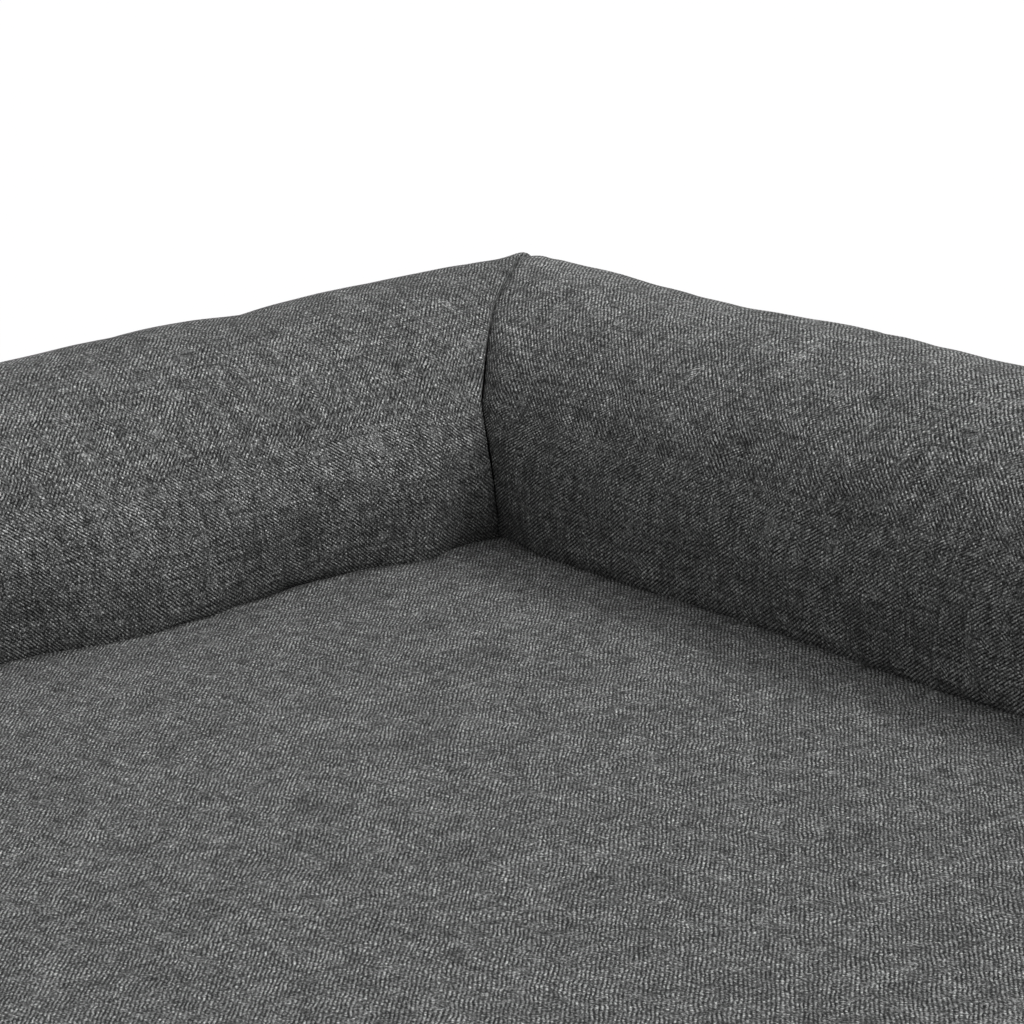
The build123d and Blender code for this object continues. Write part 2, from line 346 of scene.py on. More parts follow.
def plain_weave(warp, weft, slanted=0.5):
    """Threads that cross one over one, so that the warp's tops lie on two sets of diagonals.

    slanted is the share of the first set, which a pull along it makes stand out. Returns the
    height of the cloth from 0 to 1, how far the warp is on top from -1 to 1, and the numbers of
    the two threads.
    """
    slant = ((warp + weft) * math.pi).cos()
    counter = ((warp - weft) * math.pi).cos()
    top = slant * slanted + counter * (1 - slanted)
    warp_number = (warp + 0.5).floor()
    weft_number = (weft + 0.5).floor()
    over = (top * 4 + 0.5).clamp()
    warp_part = warp - warp_number
    weft_part = weft - weft_number
    breadth = over * warp_part + (1 - over) * weft_part
    length = over * weft_part + (1 - over) * warp_part
    height = (1 - breadth * breadth * 3.2) * (length * 2.3).cos()
    return height, top, warp_number, weft_number


def heathered_weave(looks):
    """Coarse heathered linen-look plain weave: pale warp over dark weft, with slubs."""
    bench = Bench("heathered_weave")
    across, along = bench.cloth_place()
    warp, weft = thread_counts(
        bench, across, along, (looks.warp_pitch, looks.weft_pitch), looks.lean, 2.4
    )
    patch = bench.noise((across + 31, along), 9 * MM, 2.0, 0.6)
    slanted = (bench.painted("pull") * 0.5 + (patch * 1.6 - 0.55)).clamp()
    height, top, warp_number, weft_number = plain_weave(warp, weft, slanted)
    crisp = bench.noise((across - 17, along), 12 * MM, 2.0, 0.6)
    share = (top * (crisp * 2.6 - 0.4) + 0.5).clamp()
    fleck = bench.chance(warp_number, weft_number)
    warp_slub = bench.noise((warp * 0.85, weft * 0.14), 1.0, 3.0, 0.7)
    weft_slub = bench.noise((warp * 0.14 + 70, weft * 0.7), 1.0, 3.0, 0.7)
    warp_line = bench.noise((warp * 0.5 + 20, weft * 0.03), 1.0, 2.0, 0.6)
    weft_line = bench.noise((warp * 0.03 + 50, weft * 0.5), 1.0, 2.0, 0.6)
    speck = bench.noise((across + 9, along * 0.55), 0.95 * MM, 3.0, 0.8)
    hair = bench.noise((across + 13, along * 0.8), 2.4 * MM, 2.0, 0.6)
    fuzz = (1 - (hair - 0.5).size() * 16).clamp()
    cloud = bench.noise((across + 5, along * 0.5), 7 * MM, 2.0, 0.6)
    mottle = bench.noise((across, along), 40 * MM, 5.0, 0.7)
    pale = 0.06 + (warp_slub - 0.30).clamp() * 1.15 + fleck**4 * 0.34
    dark = (weft_slub - 0.40).clamp() * 0.55
    tone = (share * pale + (1 - share) * dark) * (0.5 + height * 0.4)
    tone = tone * (speck * 6.4 - 2.2).clamp(4) * (0.92 + fuzz * 0.5)
    tone = tone * (warp_line * 1.3 + weft_line * 1.3 - 0.3).clamp(3)
    # The painted number on the mesh paints light and shade into the tone: covers paler or darker by
    # how the light falls round them, and darker at seams and along the bolsters' feet
    tone = tone * (0.55 + cloud * 0.9) * (0.6 + mottle * 0.8) * (1 + bench.painted("rub"))
    cloth = bench.blend(tone.clamp(), looks.yarn_dark, looks.yarn_light)
    normal = bench.bump(height * 0.5 + top * 0.4 + warp_slub * 0.8, 0.7 * MM, 0.9)
    return bench.finish(
        Base_Color=cloth, Roughness=0.95, Normal=normal, Specular_IOR_Level=0.12,
        Sheen_Weight=0.02, Sheen_Roughness=0.5,
    )


def sewing_thread(looks):
    """Twisted sewing thread."""
    bench = Bench("sewing_thread")
    place = bench.solid_place()
    fibre = bench.noise(place, 0.6 * MM, 2.0, flat=False)
    shade = bench.shades(fibre, looks.thread, 0.6)
    return bench.finish(
        Base_Color=shade, Roughness=0.7, Normal=bench.bump(fibre, 0.1 * MM), Sheen_Weight=0.2
    )


def grip_cloth(looks):
    """Fine close weave of the underside."""
    bench = Bench("grip_cloth")
    across, along = bench.cloth_place()
    warp, weft = thread_counts(bench, across, along, (0.7 * MM, 0.7 * MM), 0.0, 0.6)
    height, _, warp_number, weft_number = plain_weave(warp, weft)
    fleck = bench.chance(warp_number, weft_number)
    wear = bench.noise((across, along), 60 * MM, 4.0, 0.6)
    tone = (0.45 + height * 0.4 + fleck * 0.25) * (0.7 + wear * 0.6)
    cloth = bench.shades(tone.clamp(), looks.underside, 0.25)
    return bench.finish(
        Base_Color=cloth, Roughness=0.85, Normal=bench.bump(height, 0.3 * MM, 0.7),
        Specular_IOR_Level=0.3,
    )


def grip_rubber(looks):
    """Matt moulded rubber of the grip dots, scuffed on top."""
    bench = Bench("grip_rubber")
    place = bench.solid_place()
    scuff = bench.noise(place, 2 * MM, 4.0, 0.7, flat=False)
    rubber = bench.shades(scuff, looks.dots, 1.0, 2.2)
    return bench.finish(
        Base_Color=rubber, Roughness=0.45 + scuff * 0.3, Normal=bench.bump(scuff, 0.08 * MM)
    )


def tape_weave(looks):
    """Herringbone ribs of a zipper tape."""
    bench = Bench("tape_weave")
    across, along = bench.cloth_place()
    rib = across / (0.62 * MM)
    slant = (rib.floor() % 2 - 0.5) * 2
    ridge = ((along / (0.5 * MM) + rib * slant) * (2 * math.pi)).cos() * 0.5 + 0.5
    groove = ((rib - rib.floor() - 0.5) * 2.6).cos()
    height = ridge * 0.6 + groove * 0.4
    cloth = bench.shades(height.clamp(), looks.tape, 0.45, 1.3)
    return bench.finish(
        Base_Color=cloth, Roughness=0.8, Normal=bench.bump(height, 0.15 * MM, 0.8),
        Specular_IOR_Level=0.3,
    )


def coil_nylon(looks):
    """Smooth drawn nylon."""
    bench = Bench("coil_nylon")
    place = bench.solid_place()
    cloud = bench.noise(place, 5 * MM, 3.0, flat=False)
    nylon = bench.shades(cloud, looks.coil, 1.0, 1.8)
    return bench.finish(Base_Color=nylon, Roughness=0.32 + cloud * 0.16)


def slider_metal(looks):
    """Die-cast zinc in gunmetal, brushed along and rubbed bright on its edges."""
    bench = Bench("slider_metal")
    place = bench.solid_place()
    brushed = bench.noise(place, 0.5 * MM, 3.0, 0.7, flat=False)
    cloud = bench.noise(place, 6 * MM, 3.0, flat=False)
    edge = bench.node("ShaderNodeNewGeometry", output="Pointiness")
    rubbed = ((edge - 0.5) * 9 + cloud * 0.3).clamp()
    metal = bench.shades(rubbed, looks.metal, 0.45, 1.5)
    return bench.finish(
        Base_Color=metal, Metallic=1.0, Roughness=0.30 + brushed * 0.22,
        Normal=bench.bump(brushed, 0.03 * MM, 0.6),
    )


def lining(looks):
    """Coated lining cloth, crumpled, with fine noise in its roughness."""
    bench = Bench("lining")
    place = bench.solid_place()
    crumple = bench.noise(place, 30 * MM, 5.0, 0.6, flat=False)
    fine = bench.noise(place, 0.8 * MM, 1.0, flat=False)
    film = bench.shades(crumple, looks.liner, 0.86)
    return bench.finish(
        Base_Color=film, Roughness=0.38 + fine * 0.1, Normal=bench.bump(crumple, 2 * MM, 0.5)
    )


def bag_felt(looks):
    """Bonded non-woven bag cloth with a dimpled grid."""
    bench = Bench("bag_felt")
    across, along = bench.cloth_place()
    turns = 2 * math.pi / (1.6 * MM)
    dimple = (across * turns).cos() * (along * turns).cos()
    fibres = bench.noise((across, along), 0.7 * MM, 3.0, 0.7)
    height = fibres * 0.6 + dimple * 0.2
    felt = bench.shades(fibres, looks.bag, 0.8)
    return bench.finish(Base_Color=felt, Roughness=0.9, Normal=bench.bump(height, 0.2 * MM))


def loose_fibre(looks):
    """Loose polyester fibre, curled and clumped."""
    bench = Bench("loose_fibre")
    place = bench.solid_place()
    clump = bench.noise(place, 18 * MM, 6.0, 0.72, flat=False)
    strand = bench.noise(place, 1.5 * MM, 4.0, 0.8, flat=False)
    height = clump * 0.8 + strand * 0.2
    fluff = bench.shades((height * 1.6 - 0.3).clamp(), looks.fibre, 0.7)
    return bench.finish(
        Base_Color=fluff, Roughness=1.0, Normal=bench.bump(height, 5 * MM), Sheen_Weight=0.4
    )


def foam(name, looks):
    """Open-cell foam with its pores, in the colour of its name."""
    bench = Bench(name)
    place = bench.solid_place()
    cells = bench.node(
        "ShaderNodeTexVoronoi", {"feature": "SMOOTH_F1"}, {"Vector": place, "Scale": 1 / (1.6 * MM)}
    )
    cloud = bench.noise(place, 40 * MM, 3.0, flat=False)
    body = bench.shades((cells * 0.9 + cloud * 0.5).clamp(), getattr(looks, name), 0.62)
    return bench.finish(Base_Color=body, Roughness=0.95, Normal=bench.bump(cells, 0.6 * MM, 0.8))


WEAVERS = (heathered_weave, sewing_thread, grip_cloth, grip_rubber, tape_weave, coil_nylon,
           slider_metal, lining, bag_felt, loose_fibre)
FINISHES = {maker.__name__: maker for maker in WEAVERS}


def finish_named(name, looks):
    """The finish with that name, made once."""
    made = bpy.data.materials.get(name)
    if made:
        return made
    return FINISHES[name](looks) if name in FINISHES else foam(name, looks)


# Shapes as grids of points


def smooth(share):
    """Eases from 0 to 1."""
    share = np.clip(share, 0, 1)
    return share * share * (3 - 2 * share)


def bell(off, width, power=2):
    """1 at 0, and down to nearly 0 within about two widths."""
    return np.exp(-((off / width) ** power))


def fade(off, width):
    """1 at 0, falling by the same share over every width."""
    return np.exp(-off / width)


def through(table, place, units=(MM, MM)):
    """A line with level turns through a table's rows of a place and a value, in those units."""
    places, values = (np.array(table) * units).T
    left = np.clip(np.searchsorted(places, place, side="right") - 1, 0, len(places) - 2)
    share = (place - places[left]) / (places[left + 1] - places[left])
    return values[left] + (values[left + 1] - values[left]) * smooth(share)


def ripple(first, second, size, seed, count=14):
    """Smooth random waves between about -1 and 1, with features of the given size."""
    draw = np.random.default_rng(seed)
    angles = draw.uniform(0, 2 * math.pi, count)
    phases = draw.uniform(0, 2 * math.pi, count)
    lengths = size * draw.uniform(0.7, 1.6, count)
    total = 0
    for angle, phase, length in zip(angles, phases, lengths):
        along = first * math.cos(angle) + second * math.sin(angle)
        total = total + np.cos(along * 2 * math.pi / length + phase)
    return total / math.sqrt(count / 2) / 1.6


def ripple_along(along, size, seed):
    """The same along one line only."""
    return ripple(along, along * 0, size, seed)


def stations(*marks):
    """Places from the first mark to the last. A mark is a place and the largest step after it."""
    places = [marks[0][0]]
    for (start, step), (stop, _) in zip(marks, marks[1:]):
        parts = max(1, math.ceil(abs(stop - start) / step - 1e-6))
        places += [start + (stop - start) * k / parts for k in range(1, parts + 1)]
    return np.array(places)


def quads_of(index):
    """The faces between neighbours in a grid of point numbers."""
    return np.stack([index[:-1, :-1], index[1:, :-1], index[1:, 1:], index[:-1, 1:]], -1)


def ring_faces(rings, sides):
    """The faces between closed rings of points, ring after ring."""
    index = np.arange(rings * sides).reshape(rings, sides)
    return quads_of(np.concatenate([index, index[:, :1]], axis=1)).reshape(-1, 4).tolist()


def quilt(name, points, cloth_uv, kept=None, flip=False, painted=()):
    """A mesh of quads over a grid of points, with the cloth's own metres as its UV map.

    painted holds pairs of a name and a number for each point, which the finish can read.
    """
    rows, columns = points.shape[:2]
    quads = quads_of(np.arange(rows * columns).reshape(rows, columns))
    if flip:
        quads = quads[..., ::-1]
    if kept is not None:
        quads = quads[kept]
    quads = quads.reshape(-1, 4)
    piece = shaped(name, points.reshape(-1, 3).tolist(), quads.tolist())
    mesh = piece.data
    layer = mesh.uv_layers.new(name="cloth")
    layer.data.foreach_set("uv", cloth_uv.reshape(-1, 2)[quads.ravel()].ravel())
    for label, values in painted:
        layer = mesh.attributes.new(label, "FLOAT", "POINT")
        layer.data.foreach_set("value", np.broadcast_to(values, (rows, columns)).ravel())
    work = bmesh.new()
    work.from_mesh(mesh)
    bmesh.ops.delete(work, geom=[v for v in work.verts if not v.link_faces], context="VERTS")
    bmesh.ops.remove_doubles(work, verts=work.verts, dist=0.01 * MM)
    work.to_mesh(mesh)
    work.free()
    mesh.shade_smooth()
    return piece


def new_object(name, data):
    """A new object in the scene that shows the data."""
    made = bpy.data.objects.new(name, data)
    bpy.context.scene.collection.objects.link(made)
    return made


def shaped(name, points, faces):
    """A new mesh object with those points and faces."""
    mesh = bpy.data.meshes.new(name)
    mesh.from_pydata(points, [], faces)
    return new_object(name, mesh)


def thicken(piece, thickness):
    """Gives a cover its cloth thickness, to the inside."""
    solidify = piece.modifiers.new("cloth thickness", "SOLIDIFY")
    solidify.thickness = thickness
    solidify.offset = -1
    return piece


def settle(piece, looks, finish, replaced=()):
    """Gives a piece its finish, hides the nodes it stands for and gives it its ride on the bed."""
    piece.data.materials.append(finish_named(finish, looks))
    if replaced:
        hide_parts(*replaced)
    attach(piece, "bed")
    return piece


def tube_along(path, radius, sides):
    """Points of a thin tube round a path, as a grid of rings."""
    ahead = np.gradient(path, axis=0)
    ahead /= np.linalg.norm(ahead, axis=1)[:, None]
    helper = np.array([0.0, 0.0, 1.0]) if abs(ahead[:, 2]).mean() < 0.8 else np.array([1.0, 0, 0])
    first = np.cross(ahead, helper)
    first /= np.linalg.norm(first, axis=1)[:, None]
    second = np.cross(ahead, first)
    turn = np.linspace(0, 2 * math.pi, sides + 1)
    return (
        path[:, None]
        + radius * np.cos(turn)[None, :, None] * first[:, None]
        + radius * np.sin(turn)[None, :, None] * second[:, None]
    )


class Heap:
    """Collects vertices and faces of many small like shapes for one mesh."""

    def __init__(self):
        self.points = []
        self.faces = []
        self.count = 0

    def add(self, points, faces):
        self.points.append(points)
        self.faces.extend([[i + self.count for i in face] for face in faces])
        self.count += len(points)

    def object(self, name):
        piece = shaped(name, np.concatenate(self.points).tolist(), self.faces)
        piece.data.shade_smooth()
        return piece


def stitch_shape(length, radius, sides=6):
    """One stitch: a short round thread that dives into the cloth at both ends."""
    shares = np.array([-1.0, -0.82, -0.4, 0.0, 0.4, 0.82, 1.0])
    sizes = np.array([0.25, 0.8, 1.0, 1.0, 1.0, 0.8, 0.25]) * radius
    lift = radius * (0.5 - 1.3 * shares**4)
    turn = np.arange(sides) * 2 * math.pi / sides
    rings = [
        np.stack([np.full(sides, s * length / 2), np.cos(turn) * r, np.sin(turn) * r + up], -1)
        for s, r, up in zip(shares, sizes, lift)
    ]
    faces = [[a, d, c, b] for a, b, c, d in ring_faces(len(rings), sides)]
    faces += [list(range(sides))[::-1], [(len(rings) - 1) * sides + i for i in range(sides)]]
    return np.concatenate(rings), faces


def stitch_along(heap, path, normals, sizes):
    """Adds a row of stitches on a line that lies on a cover."""
    radius = 0.32 * MM
    points, faces = stitch_shape(sizes.stitch_length, radius)
    steps = np.linalg.norm(np.diff(path, axis=0), axis=1)
    arc = np.concatenate([[0], np.cumsum(steps)])
    pitch = sizes.stitch_length + sizes.stitch_gap
    count = int(arc[-1] / pitch)
    middles = (np.arange(count) + 0.5) * arc[-1] / max(count, 1)
    for middle in middles:
        ends = [middle - sizes.stitch_length / 2, middle + sizes.stitch_length / 2]
        start, stop = [np.array([np.interp(e, arc, path[:, k]) for k in range(3)]) for e in ends]
        up = np.array([np.interp(middle, arc, normals[:, k]) for k in range(3)])
        ahead = (stop - start) / np.linalg.norm(stop - start)
        up = up - ahead * (up @ ahead)
        up /= np.linalg.norm(up)
        aside = np.cross(up, ahead)
        basis = np.stack([ahead, aside, up])
        heap.add(points @ basis + (start + stop) / 2, faces)


# The bolsters


OUTLINE_POINTS = 1000


class Outline:
    """A bolster's section: from the middle of its foot up the inner side, over and back.

    across is positive to the inside of the bed, and height is above the sleeping panel.
    """

    def __init__(self):
        dip = math.asin(SECTION_MIDDLE / HALF_HEIGHT)
        turn = np.linspace(-dip, math.pi + dip, 900)
        foot = np.linspace(0, HALF_WIDTH * math.cos(dip), 200)[:-1]
        flat = np.zeros(len(foot))
        across = np.concatenate([foot, HALF_WIDTH * np.cos(turn), -foot[::-1]])
        height = np.concatenate([flat, SECTION_MIDDLE + HALF_HEIGHT * np.sin(turn), flat])
        arc = np.concatenate([[0], np.cumsum(np.hypot(np.diff(across), np.diff(height)))])
        even = np.linspace(0, arc[-1], OUTLINE_POINTS, endpoint=False)
        across = np.interp(even, arc, across)
        height = np.interp(even, arc, height)
        window = np.hanning(13)
        window /= window.sum()
        pad = len(window) // 2
        across, height = [
            np.convolve(np.concatenate([line[-pad:], line, line[:pad]]), window, "valid")
            for line in (across, height)
        ]
        self.across = np.append(across, across[0])
        self.height = np.append(height, height[0])
        steps = np.hypot(np.diff(self.across), np.diff(self.height))
        self.arc = np.concatenate([[0], np.cumsum(steps)])
        self.girth = self.arc[-1]

    def at(self, arc):
        """Across, height and the outward normal at places along the girth."""
        reach = 1.0 * MM
        place, ahead, behind = [
            [np.interp(spot % self.girth, self.arc, line) for line in (self.across, self.height)]
            for spot in (arc, arc + reach, arc - reach)
        ]
        run = ahead[0] - behind[0]
        climb = ahead[1] - behind[1]
        size = np.hypot(run, climb)
        return place[0], place[1], climb / size, -run / size

    def arc_at(self, height, inner):
        """The place along the girth at a height on the inner or the outer side."""
        half = len(self.arc) // 2
        part = slice(5, half) if inner else slice(half, -5)
        heights = self.height[part]
        arcs = self.arc[part]
        order = np.argsort(heights)
        return float(np.interp(height, heights[order], arcs[order]))


OUTLINE = Outline()
INNER_FOOT_ARC = OUTLINE.arc_at(1.5 * MM, True)
OUTER_FOOT_ARC = OUTLINE.arc_at(1.5 * MM, False)
ZIPPER_MIDDLE = sum(corner.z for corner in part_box("back_zipper_coils")) / 2 - DECK
SLOT_TOP_ARC = OUTLINE.arc_at(ZIPPER_MIDDLE + SLOT_HALF, False)
SLOT_FOOT_ARC = OUTLINE.arc_at(ZIPPER_MIDDLE - SLOT_HALF, False)
# How far from the mitre the cloth's rows turn to lie along it
MITRE_BLEND = 240 * MM
# Reach of the back bolster's tight lip at the mitre seam, and of the side one's slope to it
LIP = 2.4 * MM
SEAM_SLOPE = 23 * MM
# How far the mitred corner is drawn in on its outer side, and within which distance of the seam
CORNER_PULL = 8 * MM
CORNER_REACH = 34 * MM
OUTER_EASE = 60 * MM
# Above this height the cover is off the panel, and over FOOT_HELD its foot holds the lumps down
RAISED = 0.2 * MM
FOOT_HELD = 14 * MM
# Lumps of the stuffing: size and share of their height
LUMPS = ((150 * MM, 1.0), (48 * MM, 0.35))
# The foot's bulges: how high they reach, and how far from the mitre seam they start
BULGE_REACH = 55 * MM
BULGE_START = 40 * MM
# The round swell just above the foot: height, spread, and how far it stands out
SWELL_HEIGHT = 10 * MM
SWELL_SPREAD = 11 * MM
BACK_SWELL = 2.8 * MM
SIDE_SWELL = 4.2 * MM
# Where the cover is drawn taut over the crest: angle, its spread, and the wrinkles' loss there
CREST_TILT = 80
CREST_SPREAD = 32
CREST_LOSS = 0.75
# Painted shade in the pocket beside the mitre seam: reach along the bolster and loss of tone, then
# the angle above the middle and its spread
BACK_POCKET_PAINTED_SHADE = (38 * MM, 0.22)
SIDE_POCKET_PAINTED_SHADE = (75 * MM, 0.17)
POCKET_TILT = -6
POCKET_SPREAD = 26
# Random waves of the tops and of the feet: height and size
TOP_WAVES = (0.8 * MM, 210 * MM)
FOOT_WAVES = (1.8 * MM, 95 * MM)
# How far from the corner the tables of rises and bulges hold, and where they fade out
BACK_TABLES_END = 420 * MM
SIDE_TABLES_END = 470 * MM
TABLES_EASE = 60 * MM
# Calm cloth round the zipper slots
SLOT_CALM = 30 * MM
# Gathers at the sewn foot: how high they reach, and their size inside and outside
PUCKER_REACH = 9 * MM
INNER_PUCKERS = 19 * MM
OUTER_PUCKERS = 23 * MM
# Folds at the mitre seam: height, how many go round, how they fan out, reach and start
FOLD_HEIGHT = 0.45 * MM
FOLD_COUNT = 30
FOLD_FAN = 55 * MM
FOLD_REACH = 28 * MM
FOLD_START = 5 * MM
# Rows that turn in at a mitred end: how deep each lies behind the seam
TUCKS = np.array([2.5, 6.0]) * MM
# Width of the padding's round edge beside the bolsters
ROLL_WIDTH = 9 * MM
# Share of the girth, from the crest down the inner side, below which the cover is pulled tight
PULL_GIRTH = 0.185


def girth_places(step):
    """Places round a bolster, with one on each edge of the zipper slot."""
    fine = 2.5 * MM
    margin = 12 * MM
    return stations(
        (0, 2 * step), (INNER_FOOT_ARC - margin, fine), (INNER_FOOT_ARC + margin, step),
        (SLOT_TOP_ARC - 3 * MM, 1.5 * MM), (SLOT_TOP_ARC, 3 * MM),
        (SLOT_FOOT_ARC, 1.5 * MM), (SLOT_FOOT_ARC + 3 * MM, step),
        (OUTER_FOOT_ARC - margin, fine), (OUTER_FOOT_ARC + margin, 2 * step),
        (OUTLINE.girth, step),
    )


def seam_places(length, step, slot_near, slot_far):
    """Places along a bolster from its mitre seam, 0, to length, close together at the seam."""
    marks = [(0, 0.6 * MM), (3.6 * MM, 1.2 * MM), (8.4 * MM, 2.2 * MM), (19.4 * MM, 3.5 * MM),
             (40 * MM, step)]
    if slot_near is not None:
        marks += [(slot_near, step), (slot_far, step)]
    return stations(*marks, (length, step))


class Bolster:
    """One bolster cover's shape. Rows run along it, columns round it."""

    def __init__(self, name, seed, sizes):
        self.name = name
        self.seed = seed
        self.sizes = sizes
        self.back = name == "back"
        self.side = -1 if name == "left" else 1
        zipper_low, zipper_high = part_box(f"{name}_zipper_tape_upper")
        along = 0 if self.back else 1
        self.slot = (zipper_low[along] + SLOT_LAP, zipper_high[along] - SLOT_LAP)
        self.slot_rows = tuple(self.row_at(end) for end in self.slot)
        self.wrinkles = None

    def rows(self, step):
        """Places along the bolster's axis, in the bed's X for the back one and Y for the others."""
        if self.back:
            half = seam_places(AXIS_X, step, AXIS_X - self.slot_rows[1], AXIS_X)
            return np.concatenate([half - AXIS_X, (AXIS_X - half)[::-1][1:]])
        length = AXIS_Y - CAP_SEAM
        near, far = [AXIS_Y - row for row in self.slot_rows[::-1]]
        marks = seam_places(length - 12 * MM, step, near, far)
        tail = stations((length - 12 * MM, 2.4 * MM), (length - 2.4 * MM, 0.8 * MM), (length, 1))
        return AXIS_Y - np.concatenate([marks, tail[1:]])

    def frame_of(self, row, across):
        """The true place along the axis, the distance from the mitre seam, and the end's side."""
        if self.back:
            end, sign = AXIS_X, np.sign(row)
            reach = np.abs(row)
        else:
            end, sign = AXIS_Y, 1.0
            reach = row
        pull = smooth((reach - (end - MITRE_BLEND)) / MITRE_BLEND)
        return row - sign * across * pull, end - reach, sign

    def row_at(self, place):
        """The row that lies at a true place along the axis on the outer side."""
        end = AXIS_X if self.back else AXIS_Y
        rows = np.linspace(-end, end, 2000)
        places = self.frame_of(rows, np.full_like(rows, -HALF_WIDTH))[0]
        return float(np.interp(place, places, rows))

    def shape(self, row, arc, inset=0.0):
        """Points of the cover for grids of row and arc places."""
        across, height, out_across, out_height = OUTLINE.at(arc)
        along, from_seam, end_sign = self.frame_of(row, across)
        sizes = self.sizes
        tilt = np.degrees(np.arctan2(height - SECTION_MIDDLE, across))
        tilt = np.where(tilt < -90, tilt + 360, tilt)
        free = smooth(height / FOOT_HELD)
        raised = height > RAISED
        calm = self.near_slot(along, arc)
        corner = (AXIS_X - along) if self.back else (AXIS_Y - along)
        swell = sum(
            share * sizes.lump * ripple(along, arc, size, self.seed + order)
            for order, (size, share) in enumerate(LUMPS)
        )
        swell = swell * calm * free
        rises, bulges = self.departures(corner, along)
        swell = swell + rises * np.clip(out_height, 0, 1) * calm
        low = bell(height, BULGE_REACH) * raised
        swell = swell + (out_across > 0) * bulges * low * smooth(from_seam / BULGE_START)
        full = bell(height - SWELL_HEIGHT, SWELL_SPREAD) * raised
        full = full * smooth((from_seam - 8 * MM) / (50 * MM)) * calm
        swell = swell + (BACK_SWELL if self.back else SIDE_SWELL) * full
        swell = swell + self.puckers(along, height, out_across) * calm
        if self.wrinkles is not None:
            taut = 1 - CREST_LOSS * bell(tilt - CREST_TILT, CREST_SPREAD)
            swell = swell + self.wrinkles(row, arc) * calm * taut
        swell = swell + self.groove(from_seam, across, height, tilt)
        swell = swell + self.folds(arc, from_seam)
        depth = swell - inset
        drift = self.drift(from_seam, tilt) / math.sqrt(2)
        outer = smooth(-across / OUTER_EASE) * (1 - smooth(height / (6 * MM)))
        across = across + depth * out_across
        across = across + CORNER_PULL * outer * bell(from_seam, CORNER_REACH)
        height = np.maximum(height + depth * out_height, inset)
        if self.back:
            lap = self.sizes.seam_lap * bell(from_seam - LIP, LIP)
            x = along + end_sign * (drift + lap)
            return np.stack([x, AXIS_Y - across - drift, DECK + height], -1)
        x = self.side * (AXIS_X - across + drift)
        return np.stack([x, along - drift, DECK + height], -1)

    def rub(self, row, arc):
        """Painted light and shade: how much paler or darker the cloth is painted at places along the
        bolster and its girth, with painted shade in the pocket beside the mitre seam.
        """
        across, height, _, _ = OUTLINE.at(arc)
        _, from_seam, _ = self.frame_of(row, across)
        tilt = np.degrees(np.arctan2(height - SECTION_MIDDLE, across))
        table = np.array(BACK_PAINTED_SHADING if self.back else SIDE_PAINTED_SHADING, float)
        reach, shade = BACK_POCKET_PAINTED_SHADE if self.back else SIDE_POCKET_PAINTED_SHADE
        pocket = bell(from_seam, reach) * bell(tilt - POCKET_TILT, POCKET_SPREAD)
        return np.interp(tilt, table[:, 0], table[:, 1]) / 100 - shade * pocket

    def departures(self, corner, along):
        """How the top rises and the foot bulges along the bolster."""
        waves, bulge = [
            height * ripple_along(along, size, self.seed + order)
            for order, (height, size) in enumerate((TOP_WAVES, FOOT_WAVES), 2)
        ]
        if self.back:
            seen = smooth((BACK_TABLES_END - corner) / TABLES_EASE)
            rises = through(BACK_TOP_RISES, corner)
            bulges = through(BACK_FOOT_BULGES, corner)
        elif self.name == "right":
            seen = smooth((SIDE_TABLES_END - corner) / TABLES_EASE)
            rises = through(SIDE_TOP_RISES, corner)
            bulges = bulge * 0.4
        else:
            return waves, bulge
        return seen * rises + (1 - seen) * waves, seen * bulges + (1 - seen) * bulge

    def near_slot(self, along, arc):
        """0 close to the zipper slot and 1 away from it."""
        low, high = self.slot
        off_end = np.maximum(np.maximum(low - along, along - high), 0)
        off_edge = np.maximum(np.maximum(SLOT_TOP_ARC - arc, arc - SLOT_FOOT_ARC), 0)
        return smooth(np.hypot(off_end, off_edge) / SLOT_CALM)

    def puckers(self, along, height, out_across):
        """Small gathers along the lines where the bolster is sewn down."""
        near = fade(height, PUCKER_REACH) * (height > RAISED)
        inner = ripple_along(along, INNER_PUCKERS, self.seed + 4)
        outer = ripple_along(along, OUTER_PUCKERS, self.seed + 5)
        return self.sizes.pucker * near * np.where(out_across > 0, inner, outer)

    def groove(self, from_seam, across, height, tilt):
        """The mitre seam: the back bolster ends in a tight lip, the side one slopes in to it."""
        depth = self.sizes.groove * (0.5 + 0.5 * smooth(height / (60 * MM)))
        if self.back:
            share = np.clip(1 - from_seam / LIP, 0, 1)
            proud = 0.8 * MM * bell(from_seam - 4 * MM, 4.5 * MM)
            dip = 1.0 * MM * bell(from_seam - 13 * MM, 6 * MM) * bell(tilt - 32, 16)
            crease = 1.5 * MM * bell(from_seam - 10.5 * MM, 1.7 * MM) * bell(tilt + 21, 13, 4)
            swell = proud - depth * (1 - np.sqrt(1 - share**2)) - dip - crease
        else:
            share = np.clip(1 - from_seam / SEAM_SLOPE, 0, 1)
            swell = -depth * share**2.0
        outer = smooth(-across / OUTER_EASE)
        swell = swell - CORNER_PULL * outer * bell(from_seam, CORNER_REACH)
        return swell * smooth(height / (6 * MM))

    def folds(self, arc, from_seam):
        """Soft folds that fan out from the mitre seam."""
        inner = arc / OUTLINE.girth
        turns = inner * FOLD_COUNT + from_seam / FOLD_FAN
        fan = np.cos(turns * 2 * math.pi + self.seed)
        near = fade(from_seam, FOLD_REACH) * smooth(from_seam / FOLD_START)
        return FOLD_HEIGHT * fan * near * smooth((inner - 0.14) / 0.05) * smooth((0.9 - inner) / 0.1)

    def drift(self, from_seam, tilt):
        """How far the mitre seam wanders off its plane, to the side bolster."""
        return through(SEAM_DRIFTS, tilt, (1, MM)) * smooth(1 - from_seam / (45 * MM))


# The covers' simulation: pressure, share by which the cloth may grow, its grid, the most that it
# moves the cloth, what share of that is kept, and the rows over which its slow part is taken away
PRESSURE = 3.0
SLACK = 0.012
BALLOON_STEP = 9 * MM
BALLOON_SIDES = 61
WRINKLE_LIMIT = 9 * MM
WRINKLE_SHARE = 0.4
SLOW_REACH = 7


